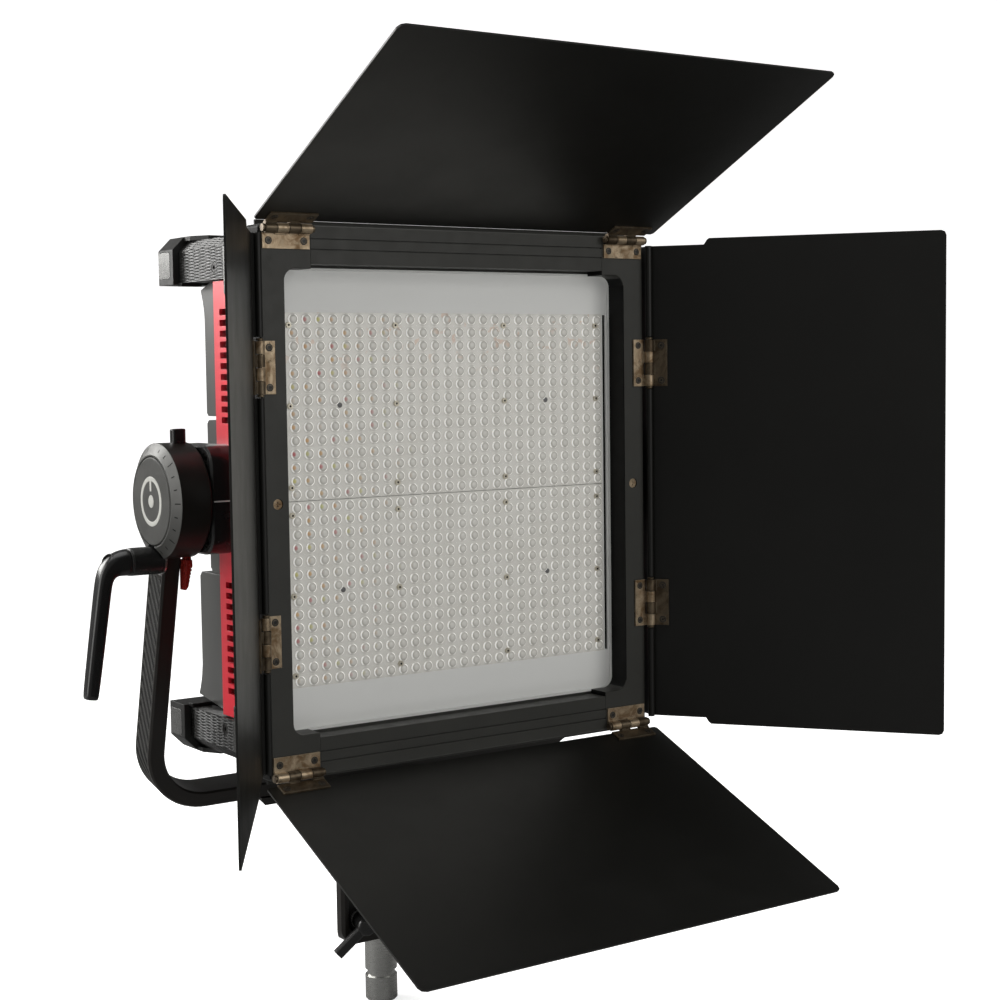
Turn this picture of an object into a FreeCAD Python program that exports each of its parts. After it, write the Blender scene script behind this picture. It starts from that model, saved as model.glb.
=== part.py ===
import FreeCAD, Part
import math
import os
from FreeCAD import Vector

# LED panel light: a square soft panel with a four-leaf barndoor frame, rear electronics
# housings, top and bottom carry handles and a tilting yoke on a stand receiver.
# Millimetres.  X points right, Y to the back, Z up.  Shapes are drawn about the centre of the
# barndoor frame's front face and moved by ORIGIN_SHIFT when saved, which puts the origin at
# the centre of the stand receiver's shoulder.

# ---------------------------------------------------------------- main dimensions
FRAME_HALF_W, FRAME_HALF_H = 184.0, 211.3       # barndoor frame and front housing
FRAME_Y0, FRAME_Y1 = 1.5, 21.5
OPEN_HALF_W, OPEN_HALF_H, OPEN_R = 162.7, 178.4, 9.5    # light opening
HOUSE_Y0, HOUSE_Y1 = 21.7, 44.0                 # front housing
PANEL_X, PANEL_HALF_H = 180.0, 172.0            # side panels: outer face, half height
PANEL_Y0, PANEL_Y1 = 44.2, 88.0
TILT_Y, TILT_Z = 96.0, 1.0                      # tilt axis
HUB_R, HUB_X0, HUB_X1 = 45.4, 202.5, 228.0      # yoke hub: radius, inner and outer face
HUB_TOP, HUB_BOTTOM = TILT_Z + HUB_R, TILT_Z - HUB_R
YOKE_LEAN = 14.0                                # degrees, bottom towards the back
YOKE_DROP = 266.0                               # tilt axis to underside of the yoke
YOKE_BOTTOM = TILT_Z - YOKE_DROP                # before it leans
REC_Y, REC_Z = 152.0, -400.0                    # stand receiver: axis, shoulder
ORIGIN_SHIFT = Vector(0, -REC_Y, -REC_Z)

X_DIR, Y_DIR, Z_DIR = Vector(1, 0, 0), Vector(0, 1, 0), Vector(0, 0, 1)

os.makedirs("parts", exist_ok=True)


# ---------------------------------------------------------------- helpers
def box(x0, x1, y0, y1, z0, z1):
    return Part.makeBox(x1 - x0, y1 - y0, z1 - z0, Vector(x0, y0, z0))


def block(x, z, half_x, half_z, y0, y1):
    """Box centred on (x, z)."""
    return box(x - half_x, x + half_x, y0, y1, z - half_z, z + half_z)


def cylinder(start, direction, radius, length):
    return Part.makeCylinder(radius, length, Vector(*start), direction)


def ring(start, direction, outer_r, inner_r, length):
    outer = cylinder(start, direction, outer_r, length)
    return outer.cut(cylinder(start, direction, inner_r, length))


def rounded_prism(a0, a1, b0, b1, radius, height):
    """Rounded rectangle in the XY plane, extruded upwards."""
    inset = radius * (1 - math.sqrt(0.5))
    corners = [
        ((a1 - radius, b0), (a1 - inset, b0 + inset), (a1, b0 + radius)),
        ((a1, b1 - radius), (a1 - inset, b1 - inset), (a1 - radius, b1)),
        ((a0 + radius, b1), (a0 + inset, b1 - inset), (a0, b1 - radius)),
        ((a0, b0 + radius), (a0 + inset, b0 + inset), (a0 + radius, b0))]
    edges = []
    last = Vector(a0 + radius, b0, 0)
    for corner in corners:
        start, middle, end = [Vector(a, b, 0) for a, b in corner]
        edges.append(Part.makeLine(last, start))
        edges.append(Part.Arc(start, middle, end).toShape())
        last = end
    return Part.Face(Part.Wire(edges)).extrude(Vector(0, 0, height))


def rounded_xz(x0, x1, z0, z1, radius, y0, y1):
    shape = rounded_prism(x0, x1, z0, z1, radius, y1 - y0)
    shape.transformShape(FreeCAD.Matrix(1, 0, 0, 0, 0, 0, -1, y1, 0, 1, 0, 0, 0, 0, 0, 1))
    return shape


def rounded_yz(y0, y1, z0, z1, radius, x0, x1):
    shape = rounded_prism(y0, y1, z0, z1, radius, x1 - x0)
    shape.transformShape(FreeCAD.Matrix(0, 0, 1, x0, 1, 0, 0, 0, 0, 1, 0, 0, 0, 0, 0, 1))
    return shape


def rounded_block(x, z, half_x, half_z, radius, y0, y1):
    """Block centred on (x, z), its four long edges rounded."""
    return rounded_xz(x - half_x, x + half_x, z - half_z, z + half_z, radius, y0, y1)


def rounded_post(x, y, half_x, half_y, radius, z0, z1):
    shape = rounded_prism(x - half_x, x + half_x, y - half_y, y + half_y, radius, z1 - z0)
    shape.translate(Vector(0, 0, z0))
    return shape


def polygon_prism(points, axis, low, high):
    """Prism along an axis; points are (y, z), (x, z) or (x, y) for axis x, y or z."""
    if axis == "x":
        corners = [Vector(low, y, z) for y, z in points]
        direction = X_DIR
    elif axis == "y":
        corners = [Vector(x, low, z) for x, z in points]
        direction = Y_DIR
    else:
        corners = [Vector(x, y, low) for x, y in points]
        direction = Z_DIR
    return Part.Face(Part.makePolygon(corners + corners[:1])).extrude(direction * (high - low))


def moved(shape, x, y, z):
    shape = shape.copy()
    shape.translate(Vector(x, y, z))
    return shape


def mirror_x(shape):
    return shape.mirror(Vector(0, 0, 0), X_DIR)


def mirror_z(shape):
    return shape.mirror(Vector(0, 0, 0), Z_DIR)


def both_sides(shape):
    return [shape, mirror_x(shape)]


def top_and_bottom(shape):
    return [shape, mirror_z(shape)]


def four_corners(shape):
    return [shape, mirror_x(shape), mirror_z(shape), mirror_z(mirror_x(shape))]


def fuse(shapes):
    return shapes[0].multiFuse(shapes[1:]).removeSplitter()


def cut(shape, tools):
    return shape.cut(Part.makeCompound(tools))


def chamfer(shape, size, pick):
    return shape.makeChamfer(size, [e for e in shape.Edges if pick(e)])


def fillet(shape, radius, pick):
    return shape.makeFillet(radius, [e for e in shape.Edges if pick(e)])


def save(name, *shapes):
    solids = [moved(solid, *ORIGIN_SHIFT) for shape in shapes for solid in shape.Solids]
    result = solids[0] if len(solids) == 1 else Part.makeCompound(solids)
    result.exportStep("parts/" + name + ".step")


# ---------------------------------------------------------------- barndoor frame
SEAM_X, SEAM_GAP = 139.8, 0.1   # seam between side member and rail, gap on each side of it
RAIL_INNER_Z = 182.0
GROOVE_Z, GROOVE_W, GROOVE_DEPTH = (193.0, 201.0), 1.0, 1.6     # along the rails' front
RIDGE_Y, RIDGE_T, RIDGE_H = 12.0, 2.0, 3.7      # ridge along the frame's top and bottom
RIDGE_END_X = 181.0
LOCK_PIN_X, LOCK_PIN_Z = -172.0, 0.5

# hinges, also used for the screw holes in the frame
HINGE_Y = -3.0                  # hinge axes, in front of the frame face
SIDE_HINGE_X, SIDE_HINGE_Z = 187.0, 103.9       # side axis, centre of each hinge on it
TOP_HINGE_X, TOP_HINGE_Z = 161.3, 208.0         # centre of each hinge, top axis
SCREW_OFFSETS = (-15, 15)       # along the hinge, from its centre
SIDE_SCREW_IN, TOP_SCREW_IN = 9.4, 9.2          # hinge axis to the frame screws


def ridge(x0, x1):
    return box(x0, x1, RIDGE_Y, RIDGE_Y + RIDGE_T, FRAME_HALF_H - 0.5, FRAME_HALF_H + RIDGE_H)


def frame_side_member():
    """Left member, with the frame's rounded corners."""
    def on_front(edge):
        return edge.BoundBox.YMax < FRAME_Y0 + 0.01

    def outer_front(edge):
        centre = edge.CenterOfMass
        return on_front(edge) and (abs(abs(centre.x) - FRAME_HALF_W) < 3.1
                                   or abs(abs(centre.z) - FRAME_HALF_H) < 3.1)

    def opening_front(edge):
        centre = edge.CenterOfMass
        return (on_front(edge) and abs(centre.x) < OPEN_HALF_W + 0.5
                and abs(centre.z) < OPEN_HALF_H + 0.5)

    plate = rounded_block(0, 0, FRAME_HALF_W, FRAME_HALF_H, 3.0, FRAME_Y0, FRAME_Y1)
    plate = plate.cut(rounded_block(0, 0, OPEN_HALF_W, OPEN_HALF_H, OPEN_R,
                                    FRAME_Y0 - 1, FRAME_Y1 + 1))
    plate = chamfer(plate, 1.0, outer_front)
    plate = chamfer(plate, 0.5, opening_front)
    member = plate.common(box(-FRAME_HALF_W - 1, -SEAM_X - SEAM_GAP, 0, 30,
                              -FRAME_HALF_H - 1, FRAME_HALF_H + 1))

    # seat and hole for the locking pin, then the hinge screw holes
    tools = [cylinder((LOCK_PIN_X, FRAME_Y0 - 1, LOCK_PIN_Z), Y_DIR, 4.15, 8.0),
             cylinder((LOCK_PIN_X, FRAME_Y0, LOCK_PIN_Z), Y_DIR, 2.05, 16.0)]
    places = [(-TOP_HINGE_X - offset, TOP_HINGE_Z - TOP_SCREW_IN) for offset in SCREW_OFFSETS]
    places += [(SIDE_SCREW_IN - SIDE_HINGE_X, SIDE_HINGE_Z + offset)
               for offset in SCREW_OFFSETS]
    places += [(x, -z) for x, z in places]
    tools += [cylinder((x, FRAME_Y0, z), Y_DIR, 1.55, 9.0) for x, z in places]
    member = cut(member, tools)
    return fuse([member] + top_and_bottom(ridge(-RIDGE_END_X, -SEAM_X - SEAM_GAP)))


def frame_rail():
    end_x = SEAM_X - SEAM_GAP
    rail = box(-end_x, end_x, FRAME_Y0, FRAME_Y1, RAIL_INNER_Z, FRAME_HALF_H)
    rail = chamfer(rail, 1.0, lambda e: e.BoundBox.YMax < FRAME_Y0 + 0.01
                   and e.BoundBox.ZMin > FRAME_HALF_H - 0.01)
    cut_x = SEAM_X + 1
    tools = [box(-cut_x, cut_x, FRAME_Y0 - 1, FRAME_Y0 + GROOVE_DEPTH,
                 z - GROOVE_W / 2, z + GROOVE_W / 2) for z in GROOVE_Z]
    # wide channel along the back
    tools.append(box(-cut_x, cut_x, FRAME_Y1 - 5, FRAME_Y1 + 1, 189, 205))
    return fuse([cut(rail, tools), ridge(-end_x, end_x)])


def frame_locking_pin():
    """Headed pin with a cross recess."""
    x, z = LOCK_PIN_X, LOCK_PIN_Z
    pin = fuse([cylinder((x, 2.4, z), Y_DIR, 4.0, 3.0), cylinder((x, 5.4, z), Y_DIR, 2.0, 12.0)])
    return cut(pin, [block(x, z, 0.5, 2.2, 2.3, 3.4), block(x, z, 2.2, 0.5, 2.3, 3.4)])


save("frame_side_members", *both_sides(frame_side_member()))
save("frame_rails", *top_and_bottom(frame_rail()))
save("frame_locking_pins", *both_sides(frame_locking_pin()))


# ---------------------------------------------------------------- hinges
# Hinges and leaves are drawn in local axes: X along the hinge axis, Y towards the leaf's
# free edge, Z from the hinge axis towards the plates.
HINGE_LEN = 40.0
KNUCKLES, KNUCKLE_R, KNUCKLE_GAP = 4, 3.8, 0.30     # the gap is taken from both ends
KNUCKLE_PITCH = HINGE_LEN / KNUCKLES
PIN_R, PIN_BORE_R, PIN_HEAD_R, PIN_HEAD_H, PIN_OVERHANG = 1.55, 1.62, 2.9, 1.6, 0.2
PLATE_Z0, PLATE_Z1 = 3.0, 4.5   # hinge plate's two faces
LEAF_PLATE_W, LEAF_SCREW_Y = 15.2, 10.0

SIDE_FRAME_PLATE = (14.4, SIDE_SCREW_IN)    # width, hinge axis to screws
TOP_FRAME_PLATE = (15.2, TOP_SCREW_IN)

# name: (outward direction, point on the hinge axis, hinge centre offset along it,
#        rest angle in degrees from straight ahead, frame plate)
LEAVES = {
    "right_leaf": (X_DIR, Vector(SIDE_HINGE_X, HINGE_Y, 0), Vector(0, 0, SIDE_HINGE_Z),
                   37.0, SIDE_FRAME_PLATE),
    "left_leaf": (X_DIR * -1, Vector(-SIDE_HINGE_X, HINGE_Y, 0), Vector(0, 0, SIDE_HINGE_Z),
                  30.5, SIDE_FRAME_PLATE),
    "top_leaf": (Z_DIR, Vector(0, HINGE_Y, TOP_HINGE_Z), Vector(TOP_HINGE_X, 0, 0),
                 26.3, TOP_FRAME_PLATE),
    "bottom_leaf": (Z_DIR * -1, Vector(0, HINGE_Y, -TOP_HINGE_Z), Vector(TOP_HINGE_X, 0, 0),
                    23.0, TOP_FRAME_PLATE),
}


def place(shape, origin, outward, angle):
    """Carry a local shape to a hinge origin, opened by angle from straight ahead."""
    cosine, sine = math.cos(math.radians(angle)), math.sin(math.radians(angle))
    along = outward.cross(Y_DIR)
    to_edge = outward * sine - Y_DIR * cosine
    normal = outward * cosine + Y_DIR * sine
    placed = shape.copy()
    placed.transformShape(FreeCAD.Matrix(
        along.x, to_edge.x, normal.x, origin.x,
        along.y, to_edge.y, normal.y, origin.y,
        along.z, to_edge.z, normal.z, origin.z, 0, 0, 0, 1))
    return placed


def countersunk_screw(shank_length):
    cone = Part.makeCone(2.9, 1.5, 1.4, Vector(0, 0, 0.02), Z_DIR)
    shank = cylinder((0, 0, 1.4), Z_DIR, 1.5, shank_length)
    return fuse([cone, shank]).cut(cylinder((0, 0, -0.5), Z_DIR, 1.1, 0.9))


def countersunk_hole():
    cone = Part.makeCone(2.98, 1.52, 1.46, Vector(0, 0, 0), Z_DIR)
    return fuse([cone, cylinder((0, 0, -0.1), Z_DIR, 1.53, 2.5)])


def hinge_half(side, width, screw_y):
    """Plate with every other knuckle; side is -1 for the frame's half, 1 for the leaf's."""
    pieces = []
    for i in range(0 if side < 0 else 1, KNUCKLES, 2):
        x0 = -HINGE_LEN / 2 + i * KNUCKLE_PITCH + KNUCKLE_GAP
        x1 = x0 + KNUCKLE_PITCH - 2 * KNUCKLE_GAP
        pieces.append(cylinder((x0, 0, 0), X_DIR, KNUCKLE_R, x1 - x0))
        y0, y1 = sorted((0, side * 4.6))
        pieces.append(box(x0, x1, y0, y1, 1.9, PLATE_Z1))
    y0, y1 = sorted((side * 3.5, side * width))
    pieces.append(box(-HINGE_LEN / 2, HINGE_LEN / 2, y0, y1, PLATE_Z0, PLATE_Z1))
    half = fuse(pieces)
    half = half.cut(cylinder((-HINGE_LEN / 2 - 1, 0, 0), X_DIR, PIN_BORE_R, HINGE_LEN + 2))
    for x in SCREW_OFFSETS:
        half = half.cut(moved(countersunk_hole(), x, side * screw_y, PLATE_Z0))
    return half


def hinge_pin():
    end = HINGE_LEN / 2 + PIN_OVERHANG
    return fuse([cylinder((-end, 0, 0), X_DIR, PIN_R, 2 * end),
                 cylinder((-end - PIN_HEAD_H, 0, 0), X_DIR, PIN_HEAD_R, PIN_HEAD_H),
                 cylinder((end, 0, 0), X_DIR, PIN_HEAD_R, PIN_HEAD_H)])


def save_hinges():
    frame_plates, frame_screws, pins = [], [], []
    frame_screw, leaf_screw, pin = countersunk_screw(8.0), countersunk_screw(2.6), hinge_pin()
    nut = ring((0, 0, 3.02), Z_DIR, 2.6, 1.52, 1.5)
    leaf_half = hinge_half(1, LEAF_PLATE_W, LEAF_SCREW_Y)
    for name, (outward, axis_point, offset, angle, (width, screw_y)) in LEAVES.items():
        frame_half = hinge_half(-1, width, screw_y)
        leaf_plates, leaf_screws = [], []
        for origin in (axis_point + offset, axis_point - offset):
            frame_plates.append(place(frame_half, origin, outward, 90))
            leaf_plates.append(place(leaf_half, origin, outward, angle))
            pins.append(place(pin, origin, outward, 90))
            for x in SCREW_OFFSETS:
                screw = moved(frame_screw, x, -screw_y, PLATE_Z0)
                frame_screws.append(place(screw, origin, outward, 90))
                for fixing in (leaf_screw, nut):
                    fixing = moved(fixing, x, LEAF_SCREW_Y, PLATE_Z0)
                    leaf_screws.append(place(fixing, origin, outward, angle))
        save(name + "_hinge_plates", *leaf_plates, *leaf_screws)
    save("hinge_frame_plates", *frame_plates)
    save("hinge_frame_screws", *frame_screws)
    save("hinge_pins", *pins)


save_hinges()

# ---------------------------------------------------------------- barndoor leaves
SHEET_Z0, SHEET_Z1 = PLATE_Z1, PLATE_Z1 + 1.5
# top and bottom leaves: hinge axis to free edge, half widths at free edge and hinge side
FLAT_LEN, FLAT_HALF, FLAT_ROOT_HALF, FLAT_Y0, FLAT_CORNER = 245.0, 194.0, 190.5, 3.6, 5.0
# side leaves: the same, narrower up to a step
SIDE_LEN, SIDE_HALF, SIDE_ROOT_HALF, SIDE_Y0, SIDE_STEP = 249.0, 209.3, 204.0, -0.2, 50.0
BEAD_R, BEAD_CLEAR = 2.8, 22.8  # rolled edge, and where it stops from a hinge's centre


def leaf_sheet(half_outline):
    """Flat sheet from the outline's +X half, listed from hinge side to free edge."""
    outline = half_outline + [(-x, y) for x, y in reversed(half_outline)]
    return polygon_prism(outline, "z", SHEET_Z0, SHEET_Z1)


def drill_leaf(leaf, hinge_offset):
    for hinge_x in (-hinge_offset, hinge_offset):
        for offset in SCREW_OFFSETS:
            leaf = leaf.cut(cylinder((hinge_x + offset, LEAF_SCREW_Y, SHEET_Z0 - 2),
                                     Z_DIR, 1.55, 6))
    return leaf


def flat_leaf():
    leaf = leaf_sheet([
        (FLAT_ROOT_HALF - 2, FLAT_Y0), (FLAT_ROOT_HALF, FLAT_Y0 + 2),
        (FLAT_HALF, FLAT_LEN - FLAT_CORNER),
        (FLAT_HALF - 0.3 * FLAT_CORNER, FLAT_LEN - 0.3 * FLAT_CORNER),
        (FLAT_HALF - FLAT_CORNER, FLAT_LEN)])
    return drill_leaf(leaf, TOP_HINGE_X)


def side_leaf():
    leaf = leaf_sheet([
        (SIDE_ROOT_HALF, SIDE_Y0), (SIDE_ROOT_HALF, SIDE_STEP - 2.5),
        (SIDE_HALF - 1.5, SIDE_STEP), (SIDE_HALF, SIDE_STEP + 2),
        (SIDE_HALF, SIDE_LEN - 4), (SIDE_HALF - 1.2, SIDE_LEN - 1.2),
        (SIDE_HALF - 4, SIDE_LEN)])
    # light-trap lip folded back beside the frame
    lip = polygon_prism([(0.6, SHEET_Z0 + 0.2), (-0.9, SHEET_Z0 + 0.2), (-9.3, SHEET_Z0 + 8.3),
                         (-8.2, SHEET_Z0 + 9.3), (0.6, SHEET_Z0 + 1.2)],
                        "x", -SIDE_ROOT_HALF, SIDE_ROOT_HALF)
    leaf = fuse([leaf, lip])
    # rolled edge on the hinge line, joined to the sheet by a web
    gap_in, gap_out = SIDE_HINGE_Z - BEAD_CLEAR, SIDE_HINGE_Z + BEAD_CLEAR
    for x0, x1 in ((-SIDE_ROOT_HALF, -gap_out), (-gap_in, gap_in), (gap_out, SIDE_ROOT_HALF)):
        bead = cylinder((x0, 0, 0), X_DIR, BEAD_R, x1 - x0)
        web = polygon_prism([(-0.9, 2.4), (1.2, 2.2), (1.2, SHEET_Z0 + 0.3),
                             (-0.1, SHEET_Z0 + 0.3)], "x", x0, x1)
        leaf = fuse([leaf, bead, web])
    return drill_leaf(leaf, SIDE_HINGE_Z)


for name, (outward, axis_point, _, angle, frame_plate) in LEAVES.items():
    leaf = side_leaf() if frame_plate is SIDE_FRAME_PLATE else flat_leaf()
    save(name, place(leaf, axis_point, outward, angle))

# ---------------------------------------------------------------- front housing and light
HOUSE_CORNER = 6.0              # 45 degree corners of the front housing
LENS_HALF_W, LENS_HALF_H = 161.0, 145.2
LINER_Y1, LINER_STEP_Y = 27.0, 25.5             # liner's back, front of its flange
HALF_GAP = 0.15                 # half the gap between upper and lower plates
FIN_COUNT, FIN_X0, FIN_PITCH, FIN_HALF_T = 27, -156.0, 12.0, 0.9
BOARD_SCREWS = [(x, z * sign) for x in (-148.0, -52.0, 53.5, 149.5)
                for z in (136.4, 74.0, 10.8) for sign in (1, -1)]


def front_housing():
    w, h, c = FRAME_HALF_W, FRAME_HALF_H, HOUSE_CORNER
    outer = polygon_prism([(-w + c, -h), (w - c, -h), (w, -h + c), (w, h - c),
                           (w - c, h), (-w + c, h), (-w, h - c), (-w, -h + c)],
                          "y", HOUSE_Y0, HOUSE_Y1)
    cavity = rounded_block(0, 0, 176, 202, 4, HOUSE_Y0 + 3, HOUSE_Y1 + 1)
    window = rounded_block(0, 0, OPEN_HALF_W + 2, OPEN_HALF_H + 2, OPEN_R + 1,
                           HOUSE_Y0 - 1, HOUSE_Y0 + 4)
    return outer.cut(cavity).cut(window)


def reflector_liner():
    """Rim inside the light opening and a flange with the window for the lens plates."""
    rim = rounded_block(0, 0, OPEN_HALF_W + 1.8, OPEN_HALF_H + 1.8, OPEN_R + 0.8,
                        HOUSE_Y0 + 0.1, LINER_Y1)
    rim = rim.cut(rounded_block(0, 0, OPEN_HALF_W + 0.3, OPEN_HALF_H + 0.3, OPEN_R,
                                HOUSE_Y0 - 1, LINER_STEP_Y))
    flange = rounded_block(0, 0, 175, 200, 3, LINER_STEP_Y, LINER_Y1)
    liner = fuse([rim, flange])
    return liner.cut(block(0, 0, LENS_HALF_W + 0.4, LENS_HALF_H + 0.4, 20, 30))


def drilled_pair(half_w, half_h, y0, y1):
    """Upper and lower plate, drilled for the board screws."""
    holes = [cylinder((x, 24, z), Y_DIR, 1.6, 12) for x, z in BOARD_SCREWS]
    upper = box(-half_w, half_w, y0, y1, HALF_GAP, half_h)
    return [cut(plate, holes) for plate in top_and_bottom(upper)]


def board_fixings():
    spacers, screws = [], []
    for x, z in BOARD_SCREWS:
        spacers.append(ring((x, 27.5, z), Y_DIR, 2.6, 1.62, 1.8))
        head = cylinder((x, 23.4, z), Y_DIR, 2.2, 1.7)
        head = head.cut(cylinder((x, 23.3, z), Y_DIR, 0.9, 1.0))
        screws.append(fuse([head, cylinder((x, 25.1, z), Y_DIR, 1.5, 8.4)]))
    return spacers + screws


def heat_sink():
    pieces = [block(0, 0, 172, 196, 31.2, 37.2)]
    for i in range(FIN_COUNT):
        pieces.append(block(FIN_X0 + i * FIN_PITCH, 0, FIN_HALF_T, 190, 37.2, 76.0))
    return cut(fuse(pieces), [cylinder((x, 31, z), Y_DIR, 1.55, 6) for x, z in BOARD_SCREWS])


save("front_housing", front_housing())
save("reflector_liner", reflector_liner())
save("lens_plates", *drilled_pair(LENS_HALF_W, LENS_HALF_H, 25.2, 27.4))
save("led_boards", *drilled_pair(172, 170, 29.4, 31.0))
save("board_fixings", *board_fixings())
save("heat_sink", heat_sink())

# ---------------------------------------------------------------- chassis shell
SLOT_COUNT, SLOT_PITCH, SLOT_H = 11, 8.45, 5.0
SLOT_TOPS = (147.7, -67.0)      # centre of the top slot of each group
FAN_X, FAN_Z = 84.0, 115.0
BLOCK_Z = TILT_Z + 0.6          # centre of the tilt joint's flange block
BLOCK_SCREWS = [(TILT_Y + side_y * 30.0, BLOCK_Z + side_z * 32.5)
                for side_y in (-1, 1) for side_z in (-1, 1)]

# channel section of the top cover, (x, z)
CHASSIS_COVER = [
    (-165.5, 205), (165.5, 205), (165.5, 172.3), (176.8, 172.3), (176.8, 169.5),
    (162.7, 169.5), (162.7, 202.2), (-162.7, 202.2), (-162.7, 169.5), (-176.8, 169.5),
    (-176.8, 172.3), (-165.5, 172.3)]


def reaches_side_panel(y):
    """Whether a flange block screw at y goes into the side panel."""
    return y < PANEL_Y1 - 5


def side_panel():
    """Left panel with its rear lip and two groups of vent slots."""
    slots = []
    for i in range(SLOT_COUNT):
        for top in SLOT_TOPS:
            z = top - i * SLOT_PITCH
            slots.append(rounded_yz(50, 78, z - SLOT_H / 2, z + SLOT_H / 2, 1.2,
                                    -PANEL_X - 1, -PANEL_X + 5))
    sheet = box(-PANEL_X, -PANEL_X + 3, PANEL_Y0, PANEL_Y1, -PANEL_HALF_H, PANEL_HALF_H)
    lip = box(-PANEL_X + 3, -PANEL_X + 14, PANEL_Y1 - 2, PANEL_Y1,
              -PANEL_HALF_H + 3, PANEL_HALF_H - 3)
    panel = cut(fuse([sheet, lip]), slots)
    return cut(panel, [cylinder((-PANEL_X - 1, y, z), X_DIR, 2.55, 8)
                       for y, z in BLOCK_SCREWS if reaches_side_panel(y)])


def chassis_cover():
    """Top channel, cut back where the heat sink passes."""
    cover = polygon_prism(CHASSIS_COVER, "y", PANEL_Y0, PANEL_Y1)
    return cover.cut(block(0, 0, 173, 197, 30, 80.5))


def rear_plate():
    """Plate with rows of slots at top and bottom, two fan openings and a cable opening."""
    plate = block(0, 0, 165.3, 204.8, PANEL_Y1 + 0.2, PANEL_Y1 + 2.2)
    plate = cut(plate, [block(-156.0 + i * 12.0, side * 189, 3.0, 9, 85, 95)
                        for i in range(27) for side in (-1, 1)])
    plate = cut(plate, [cylinder((side * FAN_X, 85, FAN_Z), Y_DIR, 41.0, 10)
                        for side in (-1, 1)])
    return cut(plate, [block(0, 0, 30, 20, 85, 95)])


save("side_panels", *both_sides(side_panel()))
save("chassis_plates", *top_and_bottom(chassis_cover()), rear_plate())

# ---------------------------------------------------------------- rear covers
COVER_HALF_W, COVER_WALL = 170.0, 3.0
COVER_Y0 = PANEL_Y1 + 2.4       # open front of the covers
UPPER_BACK, MIDDLE_BACK, LOWER_BACK = 125.2, 125.0, 145.4   # their back faces
# screw heights on each cover
UPPER_SCREW_Z, MIDDLE_SCREW_Z, LOWER_SCREW_Z = (138, 76), (50, -50), (-75, -134)
DISPLAY = (-70.0, 10.0)         # centres of the controls, (x, z)
KNOBS = [(18.0, 4.0), (78.0, 4.0)]
BUTTONS = [(-98.0, -32.0), (-70.0, -32.0), (-42.0, -32.0)]
SWITCH = (110.0, -95.0)         # and of the sockets
INLET = (60.0, -95.0)
PORTS = [(-110.0, -95.0), (-78.0, -95.0), (-46.0, -95.0)]
INNER_Y0 = COVER_Y0 - 1         # the cavities run out through the open front

# cover outlines and their cavities, (y, z)
UPPER_OUTER = [
    (COVER_Y0, 65.5), (122.5, 65.5), (125.2, 68), (125.2, 143), (126.0, 150),
    (127.8, 157.5), (131.3, 166.9), (112, 173.2), (COVER_Y0, 173.2)]
UPPER_INNER = [
    (INNER_Y0, 68.5), (120.9, 68.5), (122.2, 70), (122.2, 143.2), (123.0, 150.4),
    (124.8, 158.2), (127.3, 164.9), (111.2, 170.2), (INNER_Y0, 170.2)]
MIDDLE_OUTER = [
    (COVER_Y0, -60.5), (122, -60.5), (125, -57.5), (125, 59.5), (122, 62.5), (COVER_Y0, 62.5)]
MIDDLE_INNER = [
    (INNER_Y0, -57.5), (119.5, -57.5), (122, -55), (122, 57), (119.5, 59.5), (INNER_Y0, 59.5)]
LOWER_OUTER = [
    (COVER_Y0, -172), (108, -172), (152.7, -165.3), (149.5, -158), (147.0, -150),
    (145.4, -140), (145.4, -66), (142, -62.5), (COVER_Y0, -62.5)]
LOWER_INNER = [
    (INNER_Y0, -169), (108.2, -169), (148.4, -162.9), (146.6, -157), (144.1, -149.4),
    (142.4, -139.6), (142.4, -67.2), (140.7, -65.5), (INNER_Y0, -65.5)]


def cover_shell(outer, inner):
    inner_half_w = COVER_HALF_W - COVER_WALL
    shell = polygon_prism(outer, "x", -COVER_HALF_W, COVER_HALF_W)
    return shell.cut(polygon_prism(inner, "x", -inner_half_w, inner_half_w))


def screw_places(heights):
    return [(x, z) for z in heights for x in (-160, 160)]


def drill_cover(cover, heights, back):
    for x, z in screw_places(heights):
        cover = cover.cut(cylinder((x, back - 5, z), Y_DIR, 1.6, 8))
    return cover


def cover_screws(heights, back):
    screws = []
    for x, z in screw_places(heights):
        head = cylinder((x, back + 0.02, z), Y_DIR, 3.0, 1.8)
        head = head.cut(cylinder((x, back + 1.0, z), Y_DIR, 1.3, 2))
        screws.append(fuse([head, cylinder((x, back - 4.8, z), Y_DIR, 1.5, 4.9)]))
    return screws


def rear_cover_upper():
    """Cover with a grille of ring slots, crossed by bars, over each fan."""
    slots = []
    for x in (-FAN_X, FAN_X):
        for inner_r in (8, 16, 24, 32):
            slot = ring((x, 118, FAN_Z), Y_DIR, inner_r + 5, inner_r, 16)
            slots.append(cut(slot, [block(x, FAN_Z, 45, 2, 117, 136),
                                    block(x, FAN_Z, 2, 45, 117, 136)]))
    cover = cut(cover_shell(UPPER_OUTER, UPPER_INNER), slots)
    return drill_cover(cover, UPPER_SCREW_Z, UPPER_BACK)


def rear_cover_middle():
    """Cover with the openings of the control panel."""
    y0, y1 = MIDDLE_BACK - 8, MIDDLE_BACK + 3
    cover = cover_shell(MIDDLE_OUTER, MIDDLE_INNER)
    cover = drill_cover(cover, MIDDLE_SCREW_Z, MIDDLE_BACK)
    cover = cut(cover, [rounded_block(*DISPLAY, 34, 20, 2, y0, y1)])
    cover = cut(cover, [cylinder((x, y0, z), Y_DIR, 3.6, 12) for x, z in KNOBS])
    return cut(cover, [rounded_block(x, z, 8.2, 4.2, 2, y0, y1) for x, z in BUTTONS])


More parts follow.
